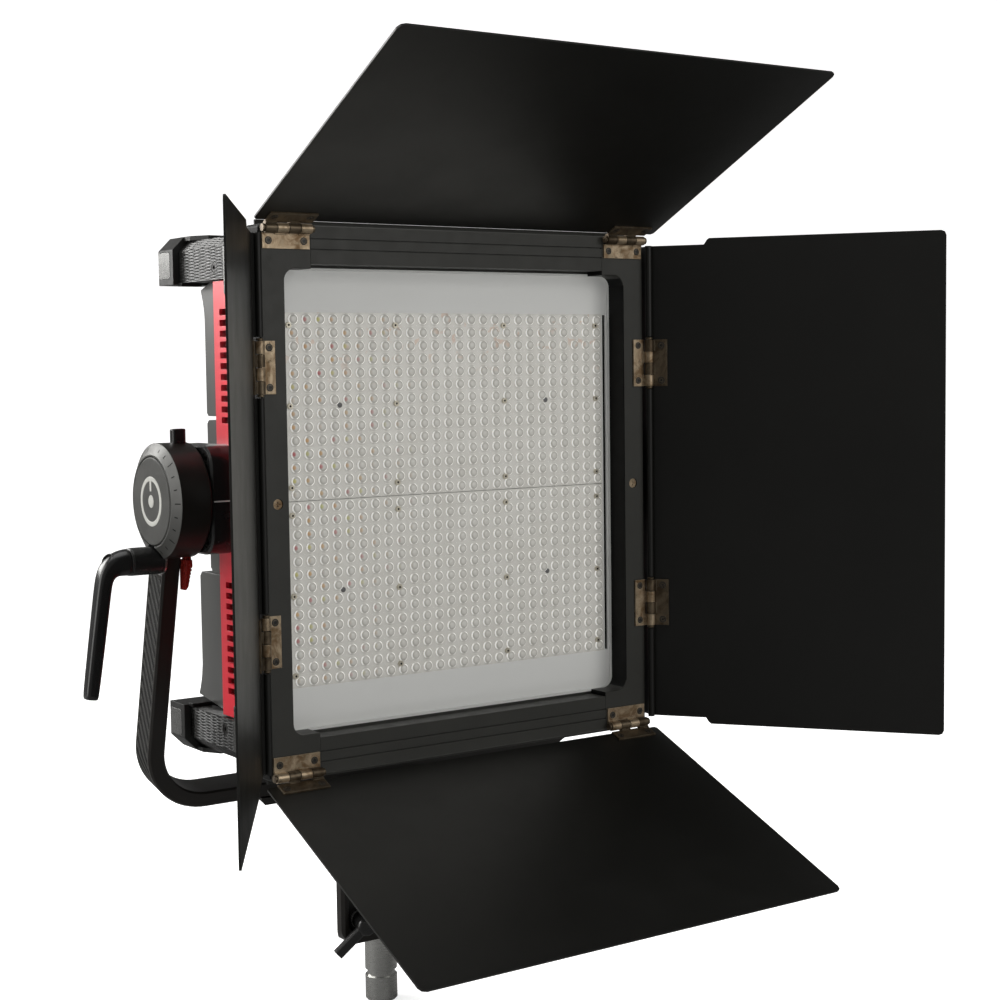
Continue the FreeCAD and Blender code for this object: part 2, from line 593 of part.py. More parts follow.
def rear_cover_lower():
    """Cover with the openings for switch, inlet and data sockets."""
    y0, y1 = LOWER_BACK - 6.4, LOWER_BACK + 4.6
    cover = cover_shell(LOWER_OUTER, LOWER_INNER)
    cover = drill_cover(cover, LOWER_SCREW_Z, LOWER_BACK)
    cover = cut(cover, [block(*SWITCH, 7.6, 11.1, y0, y1),
                        rounded_block(*INLET, 13.1, 13.1, 2, y0, y1)])
    return cut(cover, [cylinder((x, y0, z), Y_DIR, 10.1, 12) for x, z in PORTS])


save("rear_cover_middle", rear_cover_middle())
save("rear_cover_upper", rear_cover_upper())
save("rear_cover_lower", rear_cover_lower())


# ---------------------------------------------------------------- controls
def encoder_knob(x, z):
    """Fluted knob on a shaft, with a pointer notch in its end."""
    front, length, radius = MIDDLE_BACK + 0.6, 12.0, 11.0
    knob = fuse([cylinder((x, front, z), Y_DIR, radius, length),
                 cylinder((x, MIDDLE_BACK - 12, z), Y_DIR, 3.0, 12.7)])
    knob = chamfer(knob, 1.0, lambda e: e.BoundBox.YMin > front + length - 0.1)
    flutes = []
    for i in range(24):
        angle = 2 * math.pi * i / 24
        flutes.append(cylinder((x + (radius + 0.3) * math.cos(angle), front + 1,
                                z + (radius + 0.3) * math.sin(angle)), Y_DIR, 0.8, 12))
    knob = cut(knob, flutes)
    return knob.cut(block(x, z + 6.5, 0.6, 2.5, front + 11.3, front + 13.4))


def menu_button(x, z):
    y = MIDDLE_BACK - 4         # back of the retaining flange
    return fuse([rounded_block(x, z, 8.0, 4.0, 1.9, y, y + 5.6),
                 block(x, z, 9.2, 5.2, y - 1.4, y)])


def control_board():
    """Board with the encoder bodies and the display module on it."""
    y = MIDDLE_BACK - 16.4      # back of the bare board
    return fuse([box(-112, 104, y - 1.6, y, -48, 40)]
                + [block(x, z, 6, 6, y, y + 4.2) for x, z in KNOBS]
                + [block(*DISPLAY, 33, 19, y, y + 13.3)])


save("display_window", rounded_block(*DISPLAY, 33.8, 19.8, 1.8,
                                     MIDDLE_BACK - 2.7, MIDDLE_BACK - 0.4))
for i, (x, z) in enumerate(KNOBS):
    save("encoder_knob_%d" % (i + 1), encoder_knob(x, z))
for i, (x, z) in enumerate(BUTTONS):
    save("menu_button_%d" % (i + 1), menu_button(x, z))

# ---------------------------------------------------------------- switch and sockets
FLANGE_Y0 = LOWER_BACK + 0.02   # flanges stand just clear of the lower cover


def switch_body():
    body = block(*SWITCH, 7.4, 10.9, LOWER_BACK - 16, LOWER_BACK + 1.4)
    rim = rounded_block(*SWITCH, 9.5, 13, 1.5, FLANGE_Y0, LOWER_BACK + 1.4)
    return fuse([body, rim]).cut(block(*SWITCH, 5.6, 9.2, LOWER_BACK - 8, LOWER_BACK + 2))


def switch_rocker():
    x, z = SWITCH
    # profile: y from the cover's back face, z from the switch's centre
    profile = [(-3.0, -8.2), (2.4, -8.2), (1.2, 0), (3.6, 8.2), (-3.0, 8.2), (-5.4, 3), (-5.4, -3)]
    return polygon_prism([(LOWER_BACK + dy, z + dz) for dy, dz in profile],
                         "x", x - 5.3, x + 5.3)


def mains_inlet():
    x, z = INLET
    inlet = fuse([rounded_block(x, z, 13.0, 13.0, 1.9, LOWER_BACK - 18, LOWER_BACK),
                  rounded_block(x, z, 16, 18, 3, FLANGE_Y0, LOWER_BACK + 2)])
    inlet = inlet.cut(cylinder((x, LOWER_BACK - 14, z), Y_DIR, 10.5, 20))
    return fuse([inlet, cylinder((x, LOWER_BACK - 15, z), Y_DIR, 5.0, 14)])


def data_socket(x, z):
    """Round socket with a flange, and its five contact pins."""
    y = LOWER_BACK - 10         # floor of the socket
    shell = fuse([cylinder((x, LOWER_BACK - 18, z), Y_DIR, 10.0, 18.0),
                  rounded_block(x, z, 13, 15.5, 2.5, FLANGE_Y0, LOWER_BACK + 1.8)])
    pieces = [shell.cut(cylinder((x, y, z), Y_DIR, 8.4, 14))]
    for degrees in (90, 162, 234, 306, 18):
        angle = math.radians(degrees)
        pieces.append(cylinder((x + 4.4 * math.cos(angle), y, z + 4.4 * math.sin(angle)),
                               Y_DIR, 0.8, 6.5))
    return pieces


save("switch_body", switch_body())
save("switch_rocker", switch_rocker())
save("rear_sockets", mains_inlet(),
     *[piece for x, z in PORTS for piece in data_socket(x, z)])

# ---------------------------------------------------------------- fans and boards
FAN_BLADES, BLADE_TWIST, BLADE_Y = 7, 38, 101.5


def fan_frame(x):
    """Square frame with a cross and motor plate at the back, and the rotor's spindle."""
    frame = block(x, FAN_Z, 45, 45, COVER_Y0, 115.4)
    frame = frame.cut(cylinder((x, 90, FAN_Z), Y_DIR, 43.0, 30))
    motor_cross = fuse([cylinder((x, 112.4, FAN_Z), Y_DIR, 16, 3.0),
                        block(x, FAN_Z, 1.5, 44, 112.4, 115.4),
                        block(x, FAN_Z, 44, 1.5, 112.4, 115.4)])
    return fuse([frame, motor_cross, cylinder((x, 98.0, FAN_Z), Y_DIR, 1.5, 14.6)])


def fan_rotor(x):
    pieces = [cylinder((x, 92.0, FAN_Z), Y_DIR, 17.0, 19.5)]
    for i in range(FAN_BLADES):
        blade = box(-1.0, 1.0, -8.5, 8.5, 15.0, 41.0)
        blade.rotate(Vector(0, 0, 0), Z_DIR, BLADE_TWIST)
        blade.translate(Vector(x, BLADE_Y, FAN_Z))
        blade.rotate(Vector(x, BLADE_Y, FAN_Z), Y_DIR, 360.0 * i / FAN_BLADES)
        pieces.append(blade)
    rotor = fuse(pieces).common(cylinder((x, 91, FAN_Z), Y_DIR, 41.5, 21))
    return rotor.cut(cylinder((x, 97.6, FAN_Z), Y_DIR, 1.56, 20))


def power_supply_board():
    return fuse([box(-140, 20, 92.0, 93.6, -160, -112)]
                + [box(-130 + i * 26, -112 + i * 26, 93.6, 120.0, -155, -118)
                   for i in range(6)])


def driver_board():
    return fuse([block(0, 0, 120, 54, 92.0, 93.6)]
                + [cylinder((-90 + i * 30, 93.6, 30), Y_DIR, 6, 9.0) for i in range(7)])


save("fan_frames", fan_frame(-FAN_X), fan_frame(FAN_X))
save("fan_rotor_left", fan_rotor(-FAN_X))
save("fan_rotor_right", fan_rotor(FAN_X))
save("power_supply_board", power_supply_board())
save("control_boards", control_board(), driver_board())

# ---------------------------------------------------------------- handles
# all drawn at the top left corner
ARM_SCREW_Y, ARM_SCREW_Z = 80.7, 182.6
CAP_INNER_X, CAP_TOP = -150.0, 210.6            # corner cap

# sections, (x, z)
ARM_OUTLINE = [
    (-182.5, 173.2), (-182.5, 198.4), (-174.0, 206.8), (-165.9, 206.8), (-165.9, 173.2)]
BRACKET_OUTLINE = [
    (-184.0, 162.0), (-184.0, 198.0), (-176.0, 206.5), (-165.9, 206.5), (-165.9, 173.2),
    (-180.2, 173.2), (-180.2, 160.0), (-182.6, 160.0)]
CAP_OUTLINE = [
    (-188.0, 171.8), (-188.0, 200.0), (-177.4, CAP_TOP), (CAP_INNER_X, CAP_TOP),
    (CAP_INNER_X, 171.8)]
CAP_ARM_SOCKET = [
    (-182.6, 173.1), (-182.6, 198.44), (-174.04, 206.9), (-165.8, 206.9), (-165.8, 173.1)]
# tongue of the cap over the arm's top, (x, y)
CAP_TONGUE = [
    (-177.4, 144.5), (-177.4, 133.0), (-168.5, 117.5), (CAP_INNER_X, 117.5),
    (CAP_INNER_X, 144.5)]


def handle_side_arm():
    arm = polygon_prism(ARM_OUTLINE, "y", 61.2, 152.0)
    return cut(arm, [cylinder((-190, ARM_SCREW_Y, ARM_SCREW_Z), X_DIR, 2.05, 26),
                     cylinder((-183, ARM_SCREW_Y, ARM_SCREW_Z), X_DIR, 3.7, 3.5)])


def handle_arm_screw():
    head = cylinder((-182.2, ARM_SCREW_Y, ARM_SCREW_Z), X_DIR, 3.5, 2.6)
    head = head.cut(cylinder((-182.3, ARM_SCREW_Y, ARM_SCREW_Z), X_DIR, 1.7, 1.8))
    return fuse([head, cylinder((-179.6, ARM_SCREW_Y, ARM_SCREW_Z), X_DIR, 2.0, 13.0)])


def handle_cap():
    """Corner cap where the arm meets the grip, with an inlay recess on its outer face."""
    cap = polygon_prism(CAP_OUTLINE, "y", 144.0, 173.2)
    cap = fillet(cap, 2.2, lambda e: e.BoundBox.YMin > 173.1
                 and e.CenterOfMass.x < CAP_INNER_X - 1)
    cap = fuse([cap, polygon_prism(CAP_TONGUE, "z", 207.0, CAP_TOP),
                box(-183.6, -165.9, 137.5, 144.5, 170.4, 173.05)])
    return cut(cap, [polygon_prism(CAP_ARM_SOCKET, "y", 140, 152.1),
                     rounded_yz(148.0, 171.2, 175.0, 207.2, 5, -155.0, -149.0),
                     rounded_yz(149.5, 171.0, 176.8, 198.4, 3.0, -189.0, -186.8)])


save("handle_side_arms", *four_corners(handle_side_arm()))
save("handle_brackets", *four_corners(polygon_prism(BRACKET_OUTLINE, "y", 46.0, 61.0)))
save("handle_caps", *four_corners(handle_cap()))
save("handle_cap_inlays",
     *four_corners(rounded_yz(149.7, 170.8, 177.0, 198.2, 2.8, -188.2, -186.82)))
save("handle_grips",
     *top_and_bottom(rounded_yz(148.1, 171.1, 175.1, 207.1, 5, -154.9, 154.9)))

# ---------------------------------------------------------------- tilt joints
BLOCK_X = -201.0                # outer face of the left flange block
BLOCK_HALF_Y, BLOCK_HALF_Z, BLOCK_CORNER = 40.5, 42.8, 17


def on_tilt_axis(x, radius, length):
    return cylinder((x, TILT_Y, TILT_Z), X_DIR, radius, length)


def flange_block():
    """Block beside the left side panel, with screw holes and a seat for the axle."""
    body = rounded_yz(TILT_Y - BLOCK_HALF_Y, TILT_Y + BLOCK_HALF_Y, BLOCK_Z - BLOCK_HALF_Z,
                      BLOCK_Z + BLOCK_HALF_Z, BLOCK_CORNER, BLOCK_X, -PANEL_X - 0.2)
    body = chamfer(body, 1.5, lambda e: e.BoundBox.XMax < BLOCK_X + 0.01)
    body = cut(body, [cylinder((BLOCK_X - 1, y, z), X_DIR, radius, length)
                      for radius, length in ((4.6, 7), (2.55, 30)) for y, z in BLOCK_SCREWS])
    return cut(body, [on_tilt_axis(BLOCK_X - 0.5, 12.05, 15.5)])


def block_screws():
    screws = []
    for y, z in BLOCK_SCREWS:
        shank_length = 19.5 if reaches_side_panel(y) else 14.0
        head = cylinder((-200.4, y, z), X_DIR, 4.4, 5.2)
        head = head.cut(cylinder((-200.5, y, z), X_DIR, 2.2, 3.2))
        screws.append(fuse([head, cylinder((-195.2, y, z), X_DIR, 2.5, shank_length)]))
    return screws


def tilt_axle():
    return fuse([on_tilt_axis(-226.0, 12.0, 40.0), on_tilt_axis(-201.9, 20.0, 0.8)])


left_block_screws = block_screws()
save("flange_blocks", *both_sides(flange_block()))
save("housing_screws",
     *cover_screws(UPPER_SCREW_Z, UPPER_BACK),
     *cover_screws(MIDDLE_SCREW_Z, MIDDLE_BACK),
     *cover_screws(LOWER_SCREW_Z, LOWER_BACK),
     *four_corners(handle_arm_screw()),
     *left_block_screws,
     *[mirror_x(screw) for screw in left_block_screws])
save("tilt_axles", *both_sides(tilt_axle()))

# ---------------------------------------------------------------- yoke
YOKE_OUT, YOKE_W = 225.0, 28.0  # outer half width, depth of the bar
YOKE_ARM_T, YOKE_BASE_T = 14.5, 13.5
YOKE_INNER_R, YOKE_OUTER_R = 42.0, 56.0         # corner radii
ARM_TOP = -20                   # top of the arms, from the tilt axis
INLAY_TOP, INLAY_DEPTH, INLAY_HALF_W = -62.0, 1.2, 11.0
INLAY_END_X = -YOKE_OUT + YOKE_OUTER_R + 20     # end of the left inlay under the base
INLAY_GAP = 0.15
LEVER_Y, LEVER_Z = 100.0, -45.5                 # tilt lock lever's axis
LEVER_SEAT_R = 12.6
PLUNGER_X, PLUNGER_Y = -211.4, 92.0


def lean(shape):
    """Turn a shape drawn hanging straight down from the tilt axis to the yoke's lean."""
    shape = shape.copy()
    shape.rotate(Vector(0, TILT_Y, TILT_Z), X_DIR, YOKE_LEAN)
    return shape


def u_band(half_w, drop, side_t, base_t, outer_r, inner_r, y0, y1, top):
    """U-shaped band; drop and top are measured from the tilt axis."""
    bottom = TILT_Z - drop
    outer = rounded_xz(-half_w, half_w, bottom, TILT_Z + top + 200, outer_r, y0, y1)
    inner = rounded_xz(-half_w + side_t, half_w - side_t, bottom + base_t,
                       TILT_Z + top + 150, inner_r, y0 - 1, y1 + 1)
    return outer.cut(inner).common(box(-half_w - 1, half_w + 1, y0 - 1, y1 + 1,
                                       bottom - 1, TILT_Z + top))


def left_inlay(gap, end_x):
    """Band over the outer face of the left arm and round its corner."""
    depth = INLAY_DEPTH + 0.2 - gap
    half_w = INLAY_HALF_W - gap
    band = u_band(YOKE_OUT + 0.2, YOKE_DROP + 0.2, depth, depth, YOKE_OUTER_R + 0.2,
                  YOKE_OUTER_R - INLAY_DEPTH + gap, TILT_Y - half_w, TILT_Y + half_w,
                  INLAY_TOP - gap)
    return band.common(box(-300, end_x, 0, 300, -400, 100))


def yoke_bar():
    """Leaning U bar with recesses for the inlays."""
    y0, y1 = TILT_Y - YOKE_W / 2, TILT_Y + YOKE_W / 2

    def long_face_edge(edge):
        bounds = edge.BoundBox
        on_top = bounds.ZLength < 0.01 and bounds.ZMin > TILT_Z + ARM_TOP - 1
        return (edge.Length > 10 and bounds.YLength < 0.01 and not on_top
                and (bounds.YMin < y0 + 0.01 or bounds.YMax > y1 - 0.01))

    bar = u_band(YOKE_OUT, YOKE_DROP, YOKE_ARM_T, YOKE_BASE_T, YOKE_OUTER_R, YOKE_INNER_R,
                 y0, y1, ARM_TOP)
    bar = chamfer(bar, 1.5, long_face_edge)
    recess = left_inlay(0.0, INLAY_END_X)
    return lean(bar.cut(recess).cut(mirror_x(recess)))


def yoke_frame():
    hub = on_tilt_axis(-HUB_X1, HUB_R, HUB_X1 - HUB_X0)
    hub = chamfer(hub, 1.2, lambda e: e.BoundBox.XMin > -HUB_X0 - 0.1)
    yoke = fuse([yoke_bar(), hub, mirror_x(hub)])
    bore = on_tilt_axis(-HUB_X1 - 1, 15.0, 40)
    yoke = yoke.cut(bore).cut(mirror_x(bore))
    # lock lever's seat and bore in the left hub
    yoke = yoke.cut(cylinder((-236, LEVER_Y, LEVER_Z), X_DIR, LEVER_SEAT_R, 11.5))
    yoke = yoke.cut(cylinder((-236, LEVER_Y, LEVER_Z), X_DIR, 4.06, 27))
    # plunger's bore and pocket on top of the left hub
    yoke = yoke.cut(cylinder((PLUNGER_X, PLUNGER_Y, TILT_Z + 20), Z_DIR, 2.56, 40))
    yoke = yoke.cut(rounded_post(PLUNGER_X, PLUNGER_Y, 5.8, 4.1, 2.1,
                                 HUB_TOP - 4.8, HUB_TOP + 10))
    # clearance slot for the release latch's tongue
    return yoke.cut(box(-209.05, -204.95, 86.95, 95.05, TILT_Z - 60, TILT_Z - 36.0))


def yoke_grip_inlay():
    """Left inlay, trimmed flush with the outside of the arm."""
    inlay = left_inlay(INLAY_GAP, INLAY_END_X - 0.2)
    return lean(inlay.common(u_band(YOKE_OUT, YOKE_DROP, 6, 6, YOKE_OUTER_R,
                                    YOKE_OUTER_R - 6, 0, 300, 0)))


save("yoke_frame", yoke_frame())
save("yoke_grip_inlays", *both_sides(yoke_grip_inlay()))

# ---------------------------------------------------------------- tilt fittings
CAP_X, CAP_R = -233.5, 34.6     # left tilt cap: outer face, radius

# side view of the lock lever's cranked handle, (x, z)
LEVER_OUTLINE = [
    (-250.0, -36.5), (-262.0, -37.6), (-271.5, -42.0), (-277.0, -52.0), (-279.5, -64.0),
    (-291.5, -148.5), (-281.0, -150.0), (-267.5, -66.0), (-265.0, -57.5), (-259.0, -54.6),
    (-250.0, -54.2)]


def tilt_dial_rings():
    """Bevelled rings on the hubs; the left one is notched for the lock lever."""
    dial = Part.makeCone(36.6, HUB_R, 5.0, Vector(-HUB_X1 - 5.0, TILT_Y, TILT_Z), X_DIR)
    dial = dial.cut(on_tilt_axis(-240, 35.4, 20))
    notched = dial.cut(cylinder((-240, LEVER_Y, LEVER_Z), X_DIR, LEVER_SEAT_R, 20))
    return [notched, mirror_x(dial)]


def tilt_lock_lever():
    """Hub with the clamp stud and a cranked handle."""
    outer_x = -253.5
    hub = cylinder((outer_x, LEVER_Y, LEVER_Z), X_DIR, 11.0, 27.3)
    hub = fillet(hub, 2.0, lambda e: e.BoundBox.XMax < outer_x + 0.1)
    handle = polygon_prism(LEVER_OUTLINE, "y", LEVER_Y - 6.5, LEVER_Y + 6.5)
    handle = chamfer(handle, 1.8, lambda e: e.BoundBox.YLength < 0.01 and e.Length > 6)
    stud = cylinder((-230.0, LEVER_Y, LEVER_Z), X_DIR, 4.0, 19.0)
    key_socket = cylinder((-275.5, LEVER_Y, LEVER_Z), X_DIR, 3.2, 6.5)
    return fuse([hub, handle, stud]).cut(key_socket)


def angle_stop_plunger():
    top = HUB_TOP + 10.8
    button = rounded_post(PLUNGER_X, PLUNGER_Y, 5.6, 3.9, 2.0, HUB_TOP - 2.5, top)
    button = fillet(button, 1.0, lambda e: e.BoundBox.ZMin > top - 0.1)
    return fuse([button, cylinder((PLUNGER_X, PLUNGER_Y, TILT_Z + 26.5), Z_DIR,
                                  2.5, HUB_R - 26.5)])


def yoke_release_latch():
    """Ribbed latch under the left hub, on the arm's inner side, with a tongue upwards."""
    bottom, top = TILT_Z - 71.0, HUB_BOTTOM - 1.4
    latch = polygon_prism([(-209.9, top), (-205.4, top), (-204.9, top - 5.0),
                           (-207.4, bottom + 2.5), (-208.3, bottom), (-209.9, bottom)],
                          "y", 83.0, 98.0)
    latch = latch.common(polygon_prism([(84.0, top), (98.0, top), (98.0, bottom),
                                        (90.0, bottom), (88.0, bottom + 3.0)],
                                       "x", -212, -200))
    # finger grooves
    latch = cut(latch, [box(-206.0 - 0.33 * i, -200.0, 82, 99,
                            top - 7.4 - i * 2.8, top - 6.5 - i * 2.8) for i in range(4)])
    return fuse([latch, box(-209.0, -205.0, 87.0, 95.0, HUB_BOTTOM - 2.4, TILT_Z - 38.5)])


tilt_cap = chamfer(on_tilt_axis(CAP_X, CAP_R, 5.4), 0.8,
                   lambda e: e.BoundBox.XMax < CAP_X + 0.01)
tilt_bush = ring((-226.5, TILT_Y, TILT_Z), X_DIR, 14.98, 12.05, 24.0)
save("tilt_bushes", *both_sides(tilt_bush))
save("tilt_dial_rings", *tilt_dial_rings())
save("tilt_caps", *both_sides(tilt_cap))
save("tilt_lock_lever", tilt_lock_lever())
save("angle_stop_plunger", angle_stop_plunger())
save("yoke_release_latch", yoke_release_latch())

# ---------------------------------------------------------------- stand receiver
REC_HALF = 52.0                 # half width of the body
REC_Y0, REC_Y1 = REC_Y - 24.0, REC_Y + 26.0
STUD_R, STUD_LEN = 14.3, 60.0
STUD_BORE_R, STUD_BORE_LEN = 8.1, 100.0
# the locking lever's screw axis runs level, beside the stud
LOCK_DIR = Vector(-0.30, -0.95, 0.0).normalize()
LOCK_BASE = Vector(-20.2335, REC_Y + 13.99494, REC_Z + 21.0)


def on_stud_axis(z, radius, length):
    return cylinder((0, REC_Y, z), Z_DIR, radius, length)


def on_lock_axis(distance, radius, length):
    return cylinder(LOCK_BASE + LOCK_DIR * distance, LOCK_DIR, radius, length)


def saddle_plate():
    """Plate under the yoke's base bar, following its lean."""
    bottom = YOKE_BOTTOM - 7.0
    plate = box(-118, 118, TILT_Y - 15, TILT_Y + 15, bottom, YOKE_BOTTOM - 0.05)
    plate = chamfer(plate, 4.0, lambda e: e.BoundBox.XLength < 0.01
                    and e.BoundBox.ZLength < 0.01 and e.BoundBox.ZMax < bottom + 0.1)
    return lean(plate)


def stand_receiver():
    body = rounded_xz(-REC_HALF, REC_HALF, REC_Z + 2.5, -268.0, 14, REC_Y0, REC_Y1)
    body = fuse([body, box(-REC_HALF, REC_HALF, REC_Y0, REC_Y1, -290, -262)])
    # plan outline, (x, y): narrower towards the back
    plan = [(-REC_HALF + 2.5, REC_Y0), (REC_HALF - 2.5, REC_Y0), (REC_HALF, REC_Y0 + 2.5),
            (REC_HALF, REC_Y0 + 10), (22, REC_Y1), (-22, REC_Y1), (-REC_HALF, REC_Y0 + 10),
            (-REC_HALF, REC_Y0 + 2.5)]
    body = body.common(polygon_prism(plan, "z", -430, -200))
    # trim the top along the leaning yoke bar
    body = body.cut(lean(box(-130, 130, TILT_Y - 90, TILT_Y + 90,
                             YOKE_BOTTOM - 3.0, YOKE_BOTTOM + 60)))
    # pocket in the front, with the core left standing in it
    body = body.cut(rounded_xz(-REC_HALF + 6, REC_HALF - 6, REC_Z + 12.5, -300.0, 9,
                               REC_Y0 - 1, REC_Y0 + 12))
    body = fuse([body, on_stud_axis(REC_Z, 22.0, 110.0), saddle_plate()])
    bore = on_stud_axis(REC_Z - 1, 18.02, 71.0)
    body = body.cut(bore)
    boss = on_lock_axis(11.0, 9.6, 19.2)
    body = fuse([body, boss.cut(box(-100, 100, REC_Y0 + 30, 300, -500, 0))])
    body = body.cut(bore)       # clears the boss out of the bore
    return body.cut(on_lock_axis(13.0, 5.06, 60))


def stand_stud():
    bottom = REC_Z - STUD_LEN
    stud = fuse([on_stud_axis(bottom, STUD_R, STUD_LEN), on_stud_axis(REC_Z, 18.0, 68.0)])
    stud = chamfer(stud, 1.5, lambda e: e.BoundBox.ZMax < bottom + 0.01)
    stud = stud.cut(on_stud_axis(bottom - 1, STUD_BORE_R, STUD_BORE_LEN + 1))
    return stud.cut(ring((0, REC_Y, REC_Z - 38.0), Z_DIR, STUD_R + 1, STUD_R - 2.0, 6.0))


def lever_washers():
    """Washers of the tilt lock lever and of the receiver's locking lever."""
    tilt_washer = ring((-225.9, LEVER_Y, LEVER_Z), X_DIR, 11.8, 4.1, 1.3)
    return [tilt_washer, on_lock_axis(30.4, 8.4, 2.4).cut(on_lock_axis(30.2, 5.1, 3))]


def receiver_lock_lever():
    """Screw, round hub and a blade sloping down from it."""
    hub_start, hub_length = 32.9, 25.9
    hub_end = LOCK_BASE + LOCK_DIR * (hub_start + hub_length)
    screw = on_lock_axis(14.0, 5.0, 20.0)
    hub = fillet(on_lock_axis(hub_start, 8.0, hub_length), 3.0,
                 lambda e: (e.CenterOfMass - hub_end).Length < 0.1)
    blade = box(-4.5, 4.5, -3.5, 3.5, -34.0, 0)
    blade = chamfer(blade, 1.5, lambda e: e.BoundBox.ZLength > 20)
    blade.rotate(Vector(0, 0, 0), Y_DIR, 48)
    blade.rotate(Vector(0, 0, 0), Z_DIR, math.degrees(math.atan2(LOCK_DIR.y, LOCK_DIR.x)) + 90)
    blade.translate(LOCK_BASE + LOCK_DIR * 52.5)
    return fuse([screw, hub, blade])


def receiver_screw(x):
    """Screw head under the saddle plate."""
    head = cylinder((x, TILT_Y, YOKE_BOTTOM - 9.5), Z_DIR, 4.2, 2.4)
    return lean(head.cut(cylinder((x, TILT_Y, YOKE_BOTTOM - 9.6), Z_DIR, 1.9, 1.8)))


save("stand_receiver", stand_receiver())
save("stand_stud", stand_stud())
save("lever_washers", *lever_washers())
save("receiver_lock_lever", receiver_lock_lever())
save("receiver_screws", *[receiver_screw(x) for x in (-95, -65, 65, 95)])
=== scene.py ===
import math
import random

import bmesh
import bpy
import numpy as np
from mathutils import Matrix, Vector


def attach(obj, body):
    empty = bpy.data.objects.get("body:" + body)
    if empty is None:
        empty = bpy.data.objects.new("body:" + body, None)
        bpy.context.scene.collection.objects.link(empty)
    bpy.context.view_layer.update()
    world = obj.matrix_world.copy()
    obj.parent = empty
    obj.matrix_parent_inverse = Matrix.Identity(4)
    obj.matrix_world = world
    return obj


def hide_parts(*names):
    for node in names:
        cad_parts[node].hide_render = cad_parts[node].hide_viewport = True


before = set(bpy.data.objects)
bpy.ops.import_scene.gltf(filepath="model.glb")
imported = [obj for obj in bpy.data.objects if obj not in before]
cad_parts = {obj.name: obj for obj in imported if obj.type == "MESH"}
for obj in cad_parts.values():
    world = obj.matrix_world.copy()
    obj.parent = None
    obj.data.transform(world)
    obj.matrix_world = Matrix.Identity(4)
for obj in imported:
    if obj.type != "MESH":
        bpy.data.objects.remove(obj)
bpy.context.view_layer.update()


random.seed(7)
rng = np.random.default_rng(7)

# ------------------------------------------------------------------ places
# Places are in millimetres about the centre of the leaf frame's front face.
# place() turns them into the scene's frame, in metres.
SHIFT_Y, SHIFT_Z = -152.0, 400.0
TILT_Y, TILT_Z = 96.0, 1.0  # tilt axis, which runs along x
LEFT_RIGHT = (1, -1)  # mirrored pieces are drawn on the -x side, then flipped


def mm(length):
    return length / 1000.0


def place(x, y, z):
    return Vector((mm(x), mm(y + SHIFT_Y), mm(z + SHIFT_Z)))


# ----------------------------------------------------------- shader helpers
MATS = {}


class Graph:
    """Builds the node tree of a material or a world."""

    def __init__(self, block, output="ShaderNodeOutputMaterial"):
        block.use_nodes = True
        self.tree = block.node_tree
        self.tree.nodes.clear()
        self.output = self.node(output).inputs[0]

    def node(self, kind, inputs=None, **settings):
        made = self.tree.nodes.new(kind)
        for key, value in settings.items():
            setattr(made, key, value)
        self.fill(made, inputs or {})
        return made

    def fill(self, target, inputs):
        """Link or set inputs by name or index; a colour may leave out its alpha."""
        for key, value in inputs.items():
            socket = target.inputs[key]
            if isinstance(value, bpy.types.NodeSocket):
                self.tree.links.new(value, socket)
            elif isinstance(value, tuple) and len(socket.default_value) == 4:
                socket.default_value = (*value, 1.0)
            else:
                socket.default_value = value

    def finish(self, shader):
        self.tree.links.new(shader.outputs[0], self.output)

    def coords(self):
        return self.node("ShaderNodeTexCoord").outputs["Object"]

    def split(self, vector):
        return self.node("ShaderNodeSeparateXYZ", {0: vector}).outputs

    def math(self, operation, *values):
        inputs = dict(enumerate(values))
        return self.node("ShaderNodeMath", inputs, operation=operation).outputs[0]

    def mul(self, first, second):
        return self.math("MULTIPLY", first, second)

    def length(self, x, y):
        squares = self.math("ADD", self.math("POWER", x, 2.0), self.math("POWER", y, 2.0))
        return self.math("SQRT", squares)

    def ramp(self, value, span, to=(0.0, 1.0), smooth=False):
        """Carry value from the range span to the range to."""
        settings = {"interpolation_type": "SMOOTHSTEP"} if smooth else {}
        inputs = dict(enumerate((value, *span, *to)))
        return self.node("ShaderNodeMapRange", inputs, **settings).outputs[0]

    def band(self, value, rise, fall, smooth=True):
        """1 between the rise and the fall, 0 outside them."""
        return self.mul(self.ramp(value, rise, smooth=smooth),
                        self.ramp(value, fall, smooth=smooth))

    def mix(self, factor, first, second, mode="MIX"):
        inputs = {0: factor, 6: first, 7: second}
        made = self.node("ShaderNodeMix", inputs, data_type="RGBA", blend_type=mode)
        return made.outputs[2]

    def noise(self, vector, scale, detail=3.0, rough=0.55, warp=0.0):
        inputs = {"Scale": scale, "Detail": detail, "Roughness": rough,
                  "Distortion": warp, "Vector": vector}
        return self.node("ShaderNodeTexNoise", inputs).outputs["Fac"]

    def bevel(self, radius):
        return self.node("ShaderNodeBevel", {"Radius": radius}, samples=4).outputs[0]

    def edge_wear_and_highlight(self, rounded, amount):
        """0 on flats, rising to amount where the rounded normal leaves the true one."""
        true = self.node("ShaderNodeNewGeometry").outputs["Normal"]
        dot = self.node("ShaderNodeVectorMath", {0: rounded, 1: true}, operation="DOT_PRODUCT")
        return self.ramp(dot.outputs["Value"], span=(0.985, 0.80), to=(0.0, amount))

    def bump(self, distance, height, normal):
        inputs = {"Strength": 0.5, "Distance": distance, "Height": height}
        if normal is not None:
            inputs["Normal"] = normal
        return self.node("ShaderNodeBump", inputs).outputs[0]


def new_material(name):
    MATS[name] = bpy.data.materials.new(name)
    return Graph(MATS[name])


def principled(name):
    g = new_material(name)
    surface = g.node("ShaderNodeBsdfPrincipled")
    g.finish(surface)
    return g, surface


